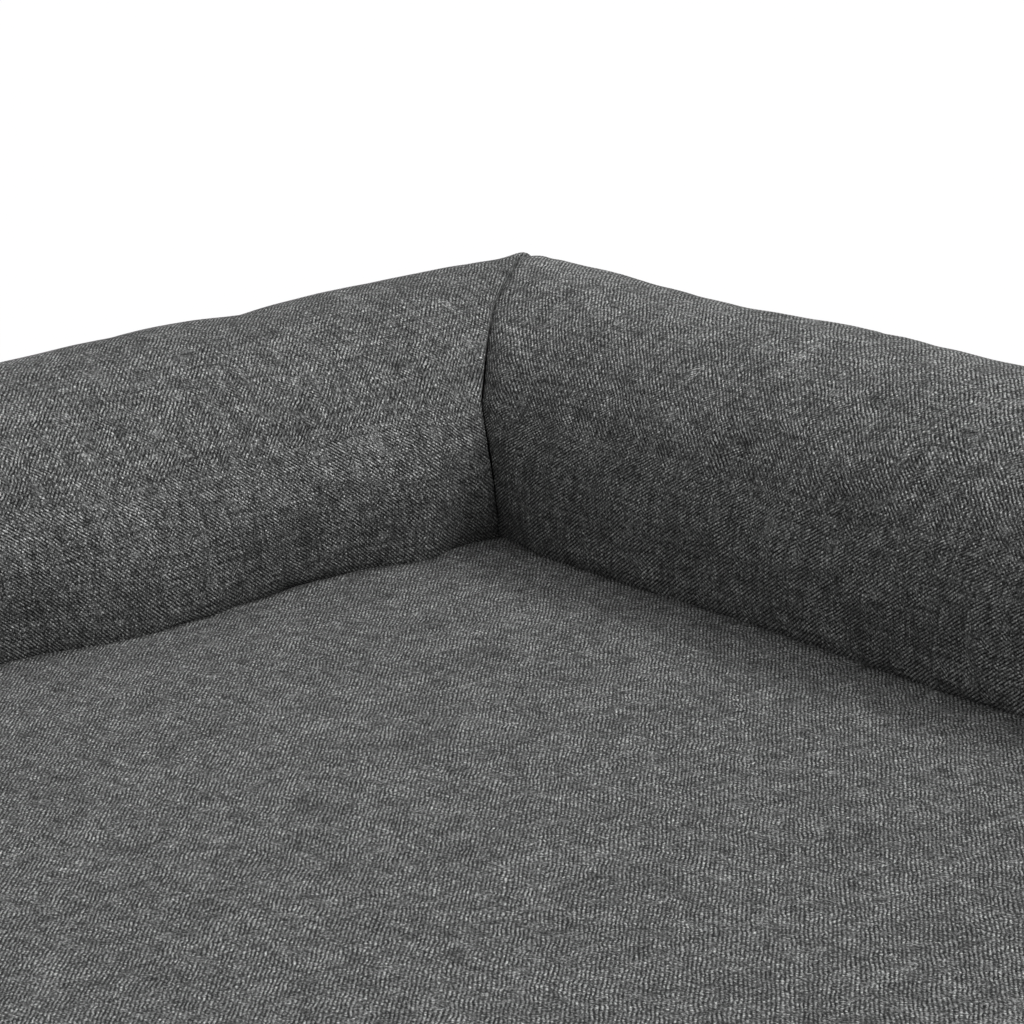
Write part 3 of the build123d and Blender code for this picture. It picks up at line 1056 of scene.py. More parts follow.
def inflate(points, pinned, sizes):
    """Blows a grid of cloth up for a few frames, held at its pinned points, and returns it."""
    faces = ring_faces(*points.shape[:2])
    balloon = shaped("inflating", points.reshape(-1, 3).tolist(), faces)
    group = balloon.vertex_groups.new(name="pinned")
    group.add(np.flatnonzero(pinned.ravel()).tolist(), 1.0, "REPLACE")
    cloth = balloon.modifiers.new("cloth", "CLOTH")
    held = cloth.settings
    held.quality = 5
    held.mass = 0.25
    held.tension_stiffness = 25
    held.compression_stiffness = 15
    held.shear_stiffness = 10
    held.bending_stiffness = 0.8
    held.vertex_group_mass = "pinned"
    held.use_pressure = True
    held.uniform_pressure_force = PRESSURE
    held.shrink_min = -SLACK
    held.effector_weights.gravity = 0
    cloth.collision_settings.use_collision = False
    cloth.point_cache.frame_end = sizes.simulated_frames
    scene = bpy.context.scene
    for number in range(1, sizes.simulated_frames + 1):
        scene.frame_set(number)
    blown = balloon.evaluated_get(bpy.context.evaluated_depsgraph_get()).data
    flat = np.empty(points.size)
    blown.vertices.foreach_get("co", flat)
    bpy.data.objects.remove(balloon)
    scene.frame_set(1)
    return flat.reshape(points.shape)


class Wrinkles:
    """What a simulation adds to a bolster: departures along its normals, on a coarse grid."""

    def __init__(self, bolster):
        end = AXIS_X if bolster.back else AXIS_Y
        start = -AXIS_X if bolster.back else CAP_SEAM
        self.rows = stations((start, BALLOON_STEP), (end, BALLOON_STEP))
        self.arcs = np.linspace(0, OUTLINE.girth, BALLOON_SIDES + 1)[:-1]
        row, arc = np.meshgrid(self.rows, self.arcs, indexing="ij")
        rest = bolster.shape(row, arc)
        _, height, out_across, out_height = OUTLINE.at(arc)
        pinned = (height < 1.2 * MM) | (row <= start + MM) | (row >= end - MM)
        blown = inflate(rest, pinned, bolster.sizes)
        if bolster.back:
            normal = np.stack([out_across * 0, -out_across, out_height], -1)
        else:
            normal = np.stack([-bolster.side * out_across, out_across * 0, out_height], -1)
        moved = ((blown - rest) * normal).sum(-1)
        moved = WRINKLE_LIMIT * np.tanh(moved / WRINKLE_LIMIT)
        window = np.hanning(2 * SLOW_REACH + 3)[1:-1]
        window /= window.sum()
        padded = np.pad(moved, ((SLOW_REACH, SLOW_REACH), (0, 0)), mode="edge")
        slow = np.stack([np.convolve(line, window, "valid") for line in padded.T], -1)
        self.field = WRINKLE_SHARE * (moved - slow)

    def __call__(self, row, arc):
        girth = self.arcs[-1] + self.arcs[1]
        field = np.concatenate([self.field, self.field[:, :1]], axis=1)
        high = np.interp(row, self.rows, np.arange(len(self.rows)))
        wide = (arc % girth) / self.arcs[1]
        top = np.clip(high.astype(int), 0, len(self.rows) - 2)
        left = np.clip(wide.astype(int), 0, field.shape[1] - 2)
        up, over = smooth(high - top), smooth(wide - left)
        first = field[top, left] * (1 - over) + field[top, left + 1] * over
        second = field[top + 1, left] * (1 - over) + field[top + 1, left + 1] * over
        return first * (1 - up) + second * up


def tuck_rows(points, middle):
    """Adds rows at a grid's last edge that turn in towards the tube's middle."""
    edge = points[-1]
    inward = middle - edge
    size = np.linalg.norm(inward, axis=1)[:, None]
    extra = [edge + inward / size * depth for depth in TUCKS]
    return np.concatenate([points, np.stack(extra)])


def bolster_cover(bolster, looks):
    """The sewn cover of one bolster, open at its zipper."""
    sizes = bolster.sizes
    rows = bolster.rows(sizes.mesh_step)
    arcs = girth_places(sizes.mesh_step)
    row, arc = np.meshgrid(rows, arcs, indexing="ij")
    arc_in = np.where(arc >= OUTLINE.girth, 0, arc)
    points = bolster.shape(row, arc_in)
    # Painted light and shade on the cover, kept on its points for the cloth's finish
    painted_shadings = bolster.rub(row, arc_in)
    steps = np.linalg.norm(np.diff(points, axis=0), axis=2)
    length = np.concatenate([np.zeros((1, len(arcs))), np.cumsum(steps, axis=0)])
    if bolster.back:
        cloth_uv = np.stack([length - length[-1:] / 2, arc], -1)
    else:
        reach = length[-1:] - length
        cloth_uv = np.stack([reach / looks.side_spread, arc / looks.side_close], -1)
    slot_low, slot_high = bolster.slot_rows
    row_middle = (rows[:-1] + rows[1:]) / 2
    arc_middle = (arcs[:-1] + arcs[1:]) / 2
    in_rows = (row_middle > slot_low) & (row_middle < slot_high)
    in_arcs = (arc_middle > SLOT_TOP_ARC) & (arc_middle < SLOT_FOOT_ARC)
    kept = ~(in_rows[:, None] & in_arcs[None, :])
    first = -1 if bolster.back else bolster.side
    middle = np.array([first * AXIS_X, AXIS_Y, DECK + SECTION_MIDDLE])
    points = tuck_rows(points[::-1], middle)[::-1]
    sign = -1 if bolster.back else 1
    before = [cloth_uv[:1] + (sign * depth, 0) for depth in TUCKS[::-1]]
    after = []
    if bolster.back:
        points = tuck_rows(points, middle * (-1, 1, 1))
        after = [cloth_uv[-1:] + (depth, 0) for depth in TUCKS]
    cloth_uv = np.concatenate([*before, cloth_uv, *after])
    added = ((len(before), len(after)), (0, 0))
    kept = np.pad(kept, added, constant_values=True)
    painted_shadings = np.pad(painted_shadings, added, "edge")
    flip = bolster.name == "right"
    drawn = np.abs(arcs - OUTLINE.girth / 2)
    inner = smooth((drawn - OUTLINE.girth * PULL_GIRTH) / (16 * MM))
    pull = np.where(arcs < OUTLINE.girth / 2, inner, 0)
    piece = quilt(
        f"{bolster.name}_bolster_cloth", points, cloth_uv, kept, flip,
        (("pull", pull), ("rub", painted_shadings)),
    )
    thicken(piece, sizes.cloth)
    return settle(
        piece, looks, "heathered_weave",
        [f"{bolster.name}_bolster_cover"],
    )


def bolster_stuffing(bolster, looks):
    """The inner bag and the fibre in it, both drawn in under the cover."""
    step = 14 * MM
    parts = (
        ("inner_bag", 3.0 * MM, "bag_felt", "bag_cloth", 0.0),
        ("fibre_fill", 5.5 * MM, "loose_fibre", "fibre_fill", 1.2 * MM),
    )
    end = AXIS_X if bolster.back else AXIS_Y
    for part, inset, finish, slot, clumps in parts:
        seam_gap = 8 * MM + inset
        start = -end + seam_gap if bolster.back else CAP_SEAM
        rows = stations((start, step), (end - seam_gap, step))
        arcs = np.linspace(0, OUTLINE.girth, 49)
        row, arc = np.meshgrid(rows, arcs, indexing="ij")
        arc = np.where(arc >= OUTLINE.girth, 0, arc)
        points = bolster.shape(row, arc, inset)
        tape = HALF_WIDTH - 5 * MM - (inset - 3 * MM)
        if bolster.back:
            points[..., 1] = np.minimum(points[..., 1], AXIS_Y + tape)
            middle = np.array([0, AXIS_Y, DECK + SECTION_MIDDLE])
        else:
            limit = AXIS_X + tape
            points[..., 0] = np.clip(points[..., 0], -limit, limit)
            middle = np.array([bolster.side * AXIS_X, 0, DECK + SECTION_MIDDLE])
        if clumps:
            out = points - middle
            out[..., 0 if bolster.back else 1] = 0
            out /= np.linalg.norm(out, axis=-1)[..., None]
            bumps = ripple(row, arc, 26 * MM, bolster.seed + 9)
            points = points - out * clumps * (1 + bumps)[..., None]
        points = closed_ends(points, bolster.back)
        cloth_uv = np.stack(np.meshgrid(
            np.linspace(0, 1, len(points)) * (rows[-1] - rows[0]),
            np.linspace(0, OUTLINE.girth, points.shape[1]), indexing="ij"), -1)
        name = f"{bolster.name}_bolster_{part}"
        piece = quilt(f"{name}_soft", points, cloth_uv, flip=bolster.name == "left")
        settle(piece, looks, finish, [name])


def closed_ends(points, back):
    """Closes a tube's two ends with rounded lids."""
    grown = points
    for end in (0, -1):
        ring = grown[end]
        middle = ring.mean(axis=0)
        along = 0 if back else 1
        outward = np.sign(middle[along] - grown[len(grown) // 2].mean(axis=0)[along])
        lid = []
        for share in (0.86, 0.6, 0.3, 0.0):
            layer = middle + (ring - middle) * share
            layer = layer.copy()
            layer[:, along] += outward * 4 * MM * (1 - share**2)
            lid.append(layer)
        lid = np.stack(lid)
        grown = np.concatenate([lid[::-1], grown]) if end == 0 else np.concatenate([grown, lid])
    return grown


# End caps: share of their depth that the rim turns over, the angle up to which it is gathered, and
# the dome's height and how fast it rises from the foot
CAP_TURN = 0.92
CAP_GATHERED = 0.35
CAP_DOME = 4.4 * MM
CAP_DOME_RISE = 22 * MM


def end_cap(bolster, looks):
    """The round piece of cloth sewn into a side bolster's open end."""
    sizes = bolster.sizes
    arcs = girth_places(sizes.mesh_step)
    arc = np.where(arcs >= OUTLINE.girth, 0, arcs)
    rim = bolster.shape(np.full_like(arc, CAP_SEAM), arc)
    middle = np.array([bolster.side * AXIS_X, CAP_SEAM, DECK + SECTION_MIDDLE * 0.86])
    depth = CAP_SEAM - CAP_FRONT
    spoke = rim - middle
    reach = np.linalg.norm(spoke, axis=1)
    turn = depth * CAP_TURN
    layers = []
    for angle in stations((0, 0.12), (math.pi / 2, 0.12)):
        shrink = 1 - turn / reach * (1 - math.cos(angle))
        layer = middle + spoke * shrink[:, None]
        layer[:, 1] = CAP_SEAM - depth * math.sin(angle)
        if angle < CAP_GATHERED:
            gather = sizes.pucker * 0.9 * ripple_along(arc, 11 * MM, bolster.seed + 12)
            taper = math.sin(angle / CAP_GATHERED * math.pi)
            layer = layer + spoke / reach[:, None] * (gather * taper)[:, None]
        layers.append(layer)
    rest = 1 - turn / reach
    for share in stations((0.93, 0.07), (0.0, 0.07)):
        layer = middle + spoke * (rest * share)[:, None]
        rise = layer[:, 2] - DECK
        off_middle = np.hypot(layer[:, 0] - middle[0], rise - SECTION_MIDDLE)
        dome = CAP_DOME * (1 - (off_middle / HALF_WIDTH) ** 2) * (1 - fade(rise, CAP_DOME_RISE))
        dome = dome * (1 - share**8)
        lumps = 0.8 * MM * ripple(layer[:, 0], layer[:, 2], 60 * MM, bolster.seed + 13)
        layer[:, 1] = CAP_FRONT - dome - lumps * (1 - share**6)
        layers.append(layer)
    groove = np.stack([middle + spoke * (1 - 2.2 * MM / reach)[:, None]])
    layers[0] = layers[0] + spoke / reach[:, None] * (-0.4 * MM)
    points = np.concatenate([groove, np.stack(layers)])
    points[..., 2] = np.maximum(points[..., 2], DECK + 0.3 * MM)
    steps = np.linalg.norm(np.diff(points, axis=0), axis=2)
    flat = np.concatenate([np.cumsum(steps[::-1], axis=0)[::-1], np.zeros((1, len(arcs)))])
    direction = spoke / reach[:, None]
    cloth_uv = flat[..., None] * direction[None][..., [0, 2]]
    piece = quilt(
        f"{bolster.name}_bolster_end_cloth", points, cloth_uv, flip=bolster.name == "left"
    )
    thicken(piece, sizes.cloth)
    return settle(
        piece, looks, "heathered_weave",
        [f"{bolster.name}_bolster_end_cap"],
    )


def slot_stitching(bolster, looks):
    """Two rows of topstitching along a bolster's zipper and across its ends."""
    heap = Heap()
    away = TOPSTITCH_OFF
    low, high = [bolster.row_at(end) for end in (bolster.slot[0] - away, bolster.slot[1] + away)]
    corners = (
        (low, SLOT_TOP_ARC - away), (high, SLOT_TOP_ARC - away),
        (high, SLOT_FOOT_ARC + away), (low, SLOT_FOOT_ARC + away), (low, SLOT_TOP_ARC - away),
    )
    for (row_a, arc_a), (row_b, arc_b) in zip(corners, corners[1:]):
        count = max(8, int(math.hypot(row_b - row_a, arc_b - arc_a) / (3 * MM)))
        row = np.linspace(row_a, row_b, count)
        arc = np.linspace(arc_a, arc_b, count)
        path = bolster.shape(row, arc)
        normals = path - bolster.shape(row, arc, 1 * MM)
        stitch_along(heap, path, normals, bolster.sizes)
    return settle(
        heap.object(f"{bolster.name}_bolster_stitching"), looks, "sewing_thread",
    )


# The casing of the base


def deck_places(step):
    """Grid lines of the base along X and Y, with lines where its round corners start."""
    edge = 6 * MM
    fine = 1.5 * MM
    side, back = AXIS_X - FOOT, AXIS_Y - FOOT
    half = stations(
        (0, step), (side - 2 * ROLL_WIDTH, fine), (side + 2 * MM, step), (BASE_SLOT, step),
        (BASE_X - CORNER, step), (BASE_X - edge, fine), (BASE_X, 1),
    )
    xs = np.concatenate([-half[::-1], half[1:]])
    ys = stations(
        (BASE_FRONT, fine), (BASE_FRONT + edge, step), (BASE_FRONT + CORNER, step),
        (back - 2 * ROLL_WIDTH, fine), (back + 2 * MM, step),
        (BASE_BACK - CORNER, step), (BASE_BACK - edge, fine), (BASE_BACK, 1),
    )
    return xs, ys


# A sewn edge of the base: how deep the cloth dips and over what width, and the painted shade along
# the seam: its loss of tone and its width
SEAM_DIP = 1.3 * MM
SEAM_WIDTH = 1.6 * MM
SEAM_PAINTED_SHADE = 0.5
SEAM_SHADE_WIDTH = 2.2 * MM


# The sleeping panel's crown eases in from the bolsters and from the open front
CROWN_EASE = 95 * MM
FRONT_CROWN_EASE = 90 * MM


def seam_shade(off):
    """Painted shade along a sewn edge of the base: how much paler the cloth is painted at a distance
    from it, negative so that it is darker.
    """
    return -SEAM_PAINTED_SHADE * bell(off, SEAM_SHADE_WIDTH)


def beside(off):
    """How strongly the line where a bolster stands shows at a distance from it."""
    return smooth((off + 5 * MM) / (7 * MM)) * fade(np.maximum(off, 0), 45 * MM)


def rounded(x, y):
    """Bends the grid's square corners to the base's round ones."""
    reach_x = (np.abs(x) - (BASE_X - CORNER)) / CORNER
    reach_y = (np.abs(y - BASE_MIDDLE) - (BASE_HALF - CORNER)) / CORNER
    both = (reach_x > 0) & (reach_y > 0)
    a = np.where(both, reach_x, 0)
    b = np.where(both, reach_y, 0)
    new_x = np.sign(x) * (BASE_X - CORNER + CORNER * a * np.sqrt(1 - b * b / 2))
    bent_y = BASE_HALF - CORNER + CORNER * b * np.sqrt(1 - a * a / 2)
    new_y = BASE_MIDDLE + np.sign(y - BASE_MIDDLE) * bent_y
    return np.where(both, new_x, x), np.where(both, new_y, y)


def edge_distance(x, y):
    """Distance from the base's outer edge, to the inside."""
    over_x = np.abs(x) - (BASE_X - CORNER)
    over_y = np.abs(y - BASE_MIDDLE) - (BASE_HALF - CORNER)
    outside = np.hypot(np.maximum(over_x, 0), np.maximum(over_y, 0))
    inside = np.minimum(np.maximum(over_x, over_y), 0)
    return CORNER - (outside + inside)


def pillow_edge(inside):
    """0 at the line where the padding is sewn down, and 1 where its round edge ends."""
    share = np.clip(inside / ROLL_WIDTH, 0, 1)
    return np.sqrt(1 - (1 - share) ** 2)


def deck_rise(x, y, sizes):
    """How far the sleeping panel stands above its flat height."""
    from_sides = AXIS_X - np.abs(x) - FOOT
    from_back = AXIS_Y - y - FOOT
    from_front = y - BASE_FRONT
    open_side = smooth(from_sides / CROWN_EASE)
    open_back = smooth(from_back / CROWN_EASE)
    crown = sizes.crown * open_side * open_back * smooth(from_front / FRONT_CROWN_EASE)
    crown = crown * (1 + 0.16 * ripple(x, y, 260 * MM, 5))
    along_back = np.where(
        x > 0, through(BACK_PANEL_RISES, AXIS_X - x),
        0.9 * MM * ripple_along(x, 90 * MM, 21),
    )
    along_side = np.where(
        x > 0, through(SIDE_PANEL_RISES, AXIS_Y - y),
        0.9 * MM * ripple_along(y, 90 * MM, 22),
    )
    in_side = smooth((from_sides + 4 * MM) / (6 * MM))
    in_back = smooth((from_back + 4 * MM) / (6 * MM))
    puffs = (along_back + 0.9 * MM) * beside(from_back) * in_side
    puffs = puffs + (along_side + 0.7 * MM) * beside(from_sides) * in_back
    undulation = 0.5 * MM * ripple(x, y, 120 * MM, 6) + 0.16 * MM * ripple(x, y, 24 * MM, 8)
    undulation = undulation * in_side * in_back
    roll = sizes.roll * pillow_edge(from_sides + 2.5 * MM) * pillow_edge(from_back - 2 * MM)
    away = edge_distance(x, y)
    front_ease = smooth(from_front / (26 * MM))
    rise = crown + roll + np.maximum(puffs, -0.7 * MM) + undulation
    return rise * front_ease - 1.4 * MM * fade(away, 1.8 * MM)


def border_loop(xs, ys):
    """The grid's border points in order, anticlockwise from the front left corner."""
    front = [(x, ys[0]) for x in xs[:-1]]
    right = [(xs[-1], y) for y in ys[:-1]]
    back = [(x, ys[-1]) for x in xs[:0:-1]]
    left = [(xs[0], y) for y in ys[:0:-1]]
    return np.array(front + right + back + left + front[:1])


def sleeping_panel(sizes, looks):
    """The cloth that the dog lies on."""
    xs, ys = deck_places(sizes.mesh_step)
    x, y = rounded(*np.meshgrid(xs, ys, indexing="ij"))
    points = np.stack([x, y, DECK + deck_rise(x, y, sizes)], -1)
    # Painted shade along the panel's sewn edge
    rub = seam_shade(edge_distance(x, y))
    # Painted shadow: a thin dark line on the panel along the back bolster's foot
    rub = rub - 0.6 * bell(AXIS_Y - y - FOOT - 3 * MM, 2 * MM)
    # Painted light: a paler strip on the panel beside the side bolsters' feet, lifting the shade
    # there
    rub = rub + 0.35 * bell(AXIS_X - np.abs(x) - FOOT - 3 * MM, 6 * MM)
    piece = quilt("sleeping_panel_cloth", points, np.stack([x, y], -1), painted=(("rub", rub),))
    thicken(piece, sizes.cloth)
    return settle(
        piece, looks, "heathered_weave", ["sleeping_panel"]
    )


def wall_points(loop, heights, sizes):
    """Points of the side walls below the base's border, and their cloth coordinates."""
    x, y = rounded(loop[:, 0], loop[:, 1])
    ahead = np.stack([np.gradient(x), np.gradient(y)], -1)
    ahead[0] = ahead[-1] = ahead[0] + ahead[-1]
    ahead /= np.linalg.norm(ahead, axis=1)[:, None]
    outward = np.stack([ahead[:, 1], -ahead[:, 0]], -1)
    arc = np.concatenate([[0], np.cumsum(np.hypot(np.diff(x), np.diff(y)))])
    height, girth = np.meshgrid(heights, arc, indexing="ij")
    share = (height - BASE_FOOT) / (DECK - BASE_FOOT)
    belly = np.sin(math.pi * np.clip(share, 0, 1)) ** 0.7
    bulge = sizes.wall_bulge * belly * (1 + 0.22 * ripple(girth, height, 170 * MM, 31))
    bulge = bulge + 0.5 * MM * belly * ripple(girth, height, 55 * MM, 32)
    near_edge = fade(DECK - height, 7 * MM) + fade(height - BASE_FOOT, 7 * MM)
    gathers = ripple(girth, height * 0.25, 17 * MM, 33)
    bulge = bulge + sizes.pucker * 0.8 * near_edge * gathers * smooth((DECK - height) / (2 * MM))
    seam_dip = fade(DECK - height, SEAM_WIDTH) + fade(height - BASE_FOOT, SEAM_WIDTH)
    bulge = bulge - SEAM_DIP * seam_dip
    calm_y = (y > BASE_BACK - 0.5 * MM)[None, :]
    near_zip = bell(height - ZIP_HEIGHT, 20 * MM) * calm_y
    bulge = bulge * (1 - near_zip) + 0.35 * MM * near_zip
    for seam_y in (BASE_FRONT + CORNER, BASE_BACK - CORNER):
        on_side = np.abs(np.abs(x) - BASE_X) < MM
        off = np.where(on_side, np.abs(y - seam_y), 1.0)[None, :]
        bulge = bulge - SEAM_DIP * bell(off, SEAM_WIDTH)
    top = DECK + deck_rise(x, y, sizes)[None, :]
    true_height = BASE_FOOT + (height - BASE_FOOT) * (top - BASE_FOOT) / (DECK - BASE_FOOT)
    points = np.stack([
        x[None, :] + outward[None, :, 0] * bulge,
        y[None, :] + outward[None, :, 1] * bulge,
        true_height,
    ], -1)
    return points, np.stack([girth, height], -1)


def boxing_walls(sizes, looks):
    """The casing's side walls, panel by panel, with the main zipper's slot in the back one."""
    xs, ys = deck_places(sizes.mesh_step)
    loop = border_loop(xs, ys)
    fine = 1.1 * MM
    heights = stations(
        (BASE_FOOT, fine), (BASE_FOOT + 4.4 * MM, 3 * MM), (BASE_FOOT + 16 * MM, sizes.mesh_step),
        (ZIP_HEIGHT - SLOT_HALF - 2.4 * MM, 1.2 * MM), (ZIP_HEIGHT - SLOT_HALF, 3 * MM),
        (ZIP_HEIGHT, 3 * MM), (ZIP_HEIGHT + SLOT_HALF, 1.2 * MM),
        (ZIP_HEIGHT + SLOT_HALF + 2.4 * MM, sizes.mesh_step), (DECK - 16 * MM, 3 * MM),
        (DECK - 4.4 * MM, fine), (DECK, 1),
    )
    points, cloth_uv = wall_points(loop, heights, sizes)
    off_seam = np.minimum(DECK - heights, heights - BASE_FOOT)[:, None]
    # Painted shade along the walls' sewn top and foot seams
    rub = seam_shade(off_seam)
    middle_x = (loop[:-1, 0] + loop[1:, 0]) / 2
    middle_y = (loop[:-1, 1] + loop[1:, 1]) / 2
    middle_z = (heights[:-1] + heights[1:]) / 2
    on_back = middle_y > BASE_BACK - CORNER
    on_front = middle_y < BASE_FRONT + CORNER
    in_slot = (
        (np.abs(middle_z - ZIP_HEIGHT) < SLOT_HALF)[:, None]
        & (on_back & (middle_y > BASE_BACK - MM) & (np.abs(middle_x) < BASE_SLOT))[None, :]
    )
    every = np.ones_like(in_slot)
    upper = (middle_z > ZIP_HEIGHT)[:, None] & every
    panels = {
        "front_boxing": every & on_front[None, :],
        "right_boxing": every & (~on_front & ~on_back & (middle_x > 0))[None, :],
        "left_boxing": every & (~on_front & ~on_back & (middle_x < 0))[None, :],
        "back_boxing_upper": upper & on_back[None, :] & ~in_slot,
        "back_boxing_lower": ~upper & on_back[None, :] & ~in_slot,
    }
    for name, kept in panels.items():
        piece = quilt(f"{name}_cloth", points, cloth_uv, kept, True, (("rub", rub),))
        thicken(piece, sizes.cloth)
        settle(piece, looks, "heathered_weave", [name])


def wall_stitching(sizes, looks):
    """Topstitching round the main zipper's slot."""
    heap = Heap()
    reach = SLOT_HALF + TOPSTITCH_OFF
    slot = BASE_SLOT + TOPSTITCH_OFF
    low, high = ZIP_HEIGHT - reach, ZIP_HEIGHT + reach
    lines = (
        ((-slot, low), (slot, low), 60), ((-slot, high), (slot, high), 60),
        ((-slot, low), (-slot, high), 8), ((slot, low), (slot, high), 8),
    )
    for start, stop, count in lines:
        x, height = np.linspace(start, stop, count).T
        path = np.stack([x, np.full(count, BASE_BACK + 0.45 * MM), height], -1)
        stitch_along(heap, path, np.tile((0.0, 1.0, 0.0), (count, 1)), sizes)
    return settle(
        heap.object("base_zipper_stitching"), looks, "sewing_thread"
    )


def underside(sizes, looks):
    """The grip cloth under the bed, and the dots moulded on it."""
    xs, ys = deck_places(12 * MM)
    x, y = rounded(*np.meshgrid(xs, ys, indexing="ij"))
    dot_height = 0.8 * MM
    away = edge_distance(x, y)
    sag = 0.12 * MM * (1 + ripple(x, y, 60 * MM, 41)) * smooth(away / (20 * MM))
    lift = (BASE_FOOT - dot_height) * fade(away, 3 * MM)
    points = np.stack([x, y, dot_height + sag + lift * 0.9], -1)
    piece = quilt("nonslip_bottom_cloth", points, np.stack([x, y], -1), flip=True)
    settle(
        piece, looks, "grip_cloth", ["nonslip_bottom_panel"],
    )
    heap = Heap()
    sides = 10
    turn = np.arange(sides) * 2 * math.pi / sides
    rings = ((1.0, 1.0), (0.97, 0.45), (0.75, 0.12), (0.35, 0.0))
    shape = np.concatenate([
        np.stack([np.cos(turn) * r, np.sin(turn) * r, np.full(sides, up)], -1) for r, up in rings
    ])
    lid = [(len(rings) - 1) * sides + i for i in range(sides)][::-1]
    faces = ring_faces(len(rings), sides) + [lid]
    scale = np.array([sizes.dot_radius, sizes.dot_radius, dot_height + 0.3 * MM])
    margin = 12 * MM
    columns = int((BASE_X - margin) / sizes.dot_pitch)
    pitch_y = sizes.dot_pitch * math.sqrt(3) / 2
    row_count = int((BASE_BACK - BASE_FRONT - 2 * margin) / pitch_y)
    for row in range(row_count + 1):
        y = BASE_FRONT + margin + row * pitch_y
        for column in range(-columns, columns + 1):
            x = (column + 0.5 * (row % 2)) * sizes.dot_pitch
            if edge_distance(x, y) > margin * 0.8:
                heap.add(shape * scale + (x, y, 0), faces)
    settle(heap.object("grip_dots"), looks, "grip_rubber")


# The zippers


class ZipperFrame:
    """Where one zipper lies: along, up and out, from its CAD pieces."""

    def __init__(self, name):
        low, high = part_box(f"{name}_zipper_coils")
        centre = (low + high) / 2
        self.along = 0 if name in ("base", "back") else 1
        self.out = 1 - self.along
        self.sign = -1.0 if name == "left" else 1.0
        self.centre = np.array(centre)
        self.start, self.stop = low[self.along], high[self.along]
        self.half_height = (high.z - low.z) / 2
        self.half_depth = (high[self.out] - low[self.out]) / 2
        tape_low, tape_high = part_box(f"{name}_zipper_tape_upper")
        self.tape_start, self.tape_stop = tape_low[self.along], tape_high[self.along]
        self.tape_inner = tape_low.z - centre.z
        self.tape_outer = tape_high.z - centre.z
        self.tape_thickness = tape_high[self.out] - tape_low[self.out]

    def place(self, along, up, out):
        """World points for places along the zipper, up from its middle and out of the bed."""
        along, up, out = np.broadcast_arrays(along, up, out)
        points = np.empty(along.shape + (3,))
        points[..., self.along] = along
        points[..., self.out] = self.centre[self.out] + self.sign * out
        points[..., 2] = self.centre[2] + up
        return points


def zipper_coils(name, sizes, looks):
    """The two nylon coils, turn by turn, each reaching between the other's turns."""
    seat = ZipperFrame(name)
    wire = 0.34 * MM
    turns = int((seat.stop - seat.start) / sizes.coil_pitch)
    steps = 12
    angle = np.linspace(0, turns * 2 * math.pi, turns * steps + 1)
    heap = Heap()
    for side, phase in ((1, 0.0), (-1, math.pi)):
        along = seat.start + (seat.stop - seat.start) * angle / angle[-1]
        width = (seat.tape_inner - wire + 0.5 * MM) / 2
        up = side * (width - 0.25 * MM + (width - wire * 0.5) * np.cos(angle + phase) * 0.95)
        out = (seat.half_depth - wire) * np.sin(angle + phase)
        grid = tube_along(seat.place(along, up, out), wire, 4)[:, :-1]
        heap.add(grid.reshape(-1, 3), ring_faces(*grid.shape[:2]))
    return settle(
        heap.object(f"{name}_zipper_spirals"), looks, "coil_nylon",
        [f"{name}_zipper_coils"],
    )


def zipper_tapes(name, looks):
    """The woven tapes, each with the cord that its edge is woven round."""
    seat = ZipperFrame(name)
    rows = stations((seat.tape_start, 8 * MM), (seat.tape_stop, 8 * MM))
    half = seat.tape_thickness / 2
    width = seat.tape_outer - seat.tape_inner
    profile = [
        (0.0, -0.6), (0.05, 0.2), (0.14, 1.0), (0.24, 0.9), (0.3, 0.55), (0.6, 0.6), (0.93, 0.6),
        (1.0, 0.2), (1.0, -0.6), (0.6, -0.9), (0.3, -0.9), (0.0, -0.6),
    ]
    across = np.array([p[0] for p in profile]) * width + seat.tape_inner
    depth = np.array([p[1] for p in profile]) * half
    girth = np.concatenate([[0], np.cumsum(np.hypot(np.diff(across), np.diff(depth)))])
    for label, side in (("upper", 1), ("lower", -1)):
        row, up = np.meshgrid(rows, across * side, indexing="ij")
        out = np.broadcast_to(depth, row.shape)
        points = seat.place(row, up, out)
        cloth_uv = np.stack([np.broadcast_to(girth, row.shape), row], -1)
        flip = (side * seat.sign > 0) == (seat.along == 0)
        piece = quilt(f"{name}_zipper_tape_{label}_cloth", points, cloth_uv, flip=flip)
        settle(
            piece, looks, "tape_weave",
            [f"{name}_zipper_tape_{label}"],
        )


def dress_nodes(looks):
    """Finishes for the CAD nodes that keep their shape."""
    finishes = {
        "foam_liner_tray": "lining",
        "foam_liner_lid": "lining",
        "support_foam": "firm_foam",
        "comfort_foam": "soft_foam",
    }
    for zipper in ZIPPERS:
        finishes[f"{zipper}_zipper_stops"] = "coil_nylon"
        finishes[f"{zipper}_zipper_slider"] = "slider_metal"
        finishes[f"{zipper}_zipper_pull"] = "slider_metal"
    for name, finish in finishes.items():
        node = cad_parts[name]
        for slot in node.material_slots:
            slot.material = finish_named(finish, looks)
        if finish == "slider_metal":
            edges = node.modifiers.new("rounded edges", "BEVEL")
            edges.width = 0.25 * MM
            edges.segments = 2
            edges.limit_method = "ANGLE"


# Operators


class DOGBED_OT_stage(bpy.types.Operator):
    """Puts up the camera, the lights, the floor and the background"""

    bl_idname = "dog_bed.stage"
    bl_label = "Stage"

    def execute(self, context):
        place_camera(context.scene)
        light_studio(context.scene)
        lay_floor(context.scene.dog_bed_looks)
        context.scene.view_settings.view_transform = "Standard"
        return {"FINISHED"}


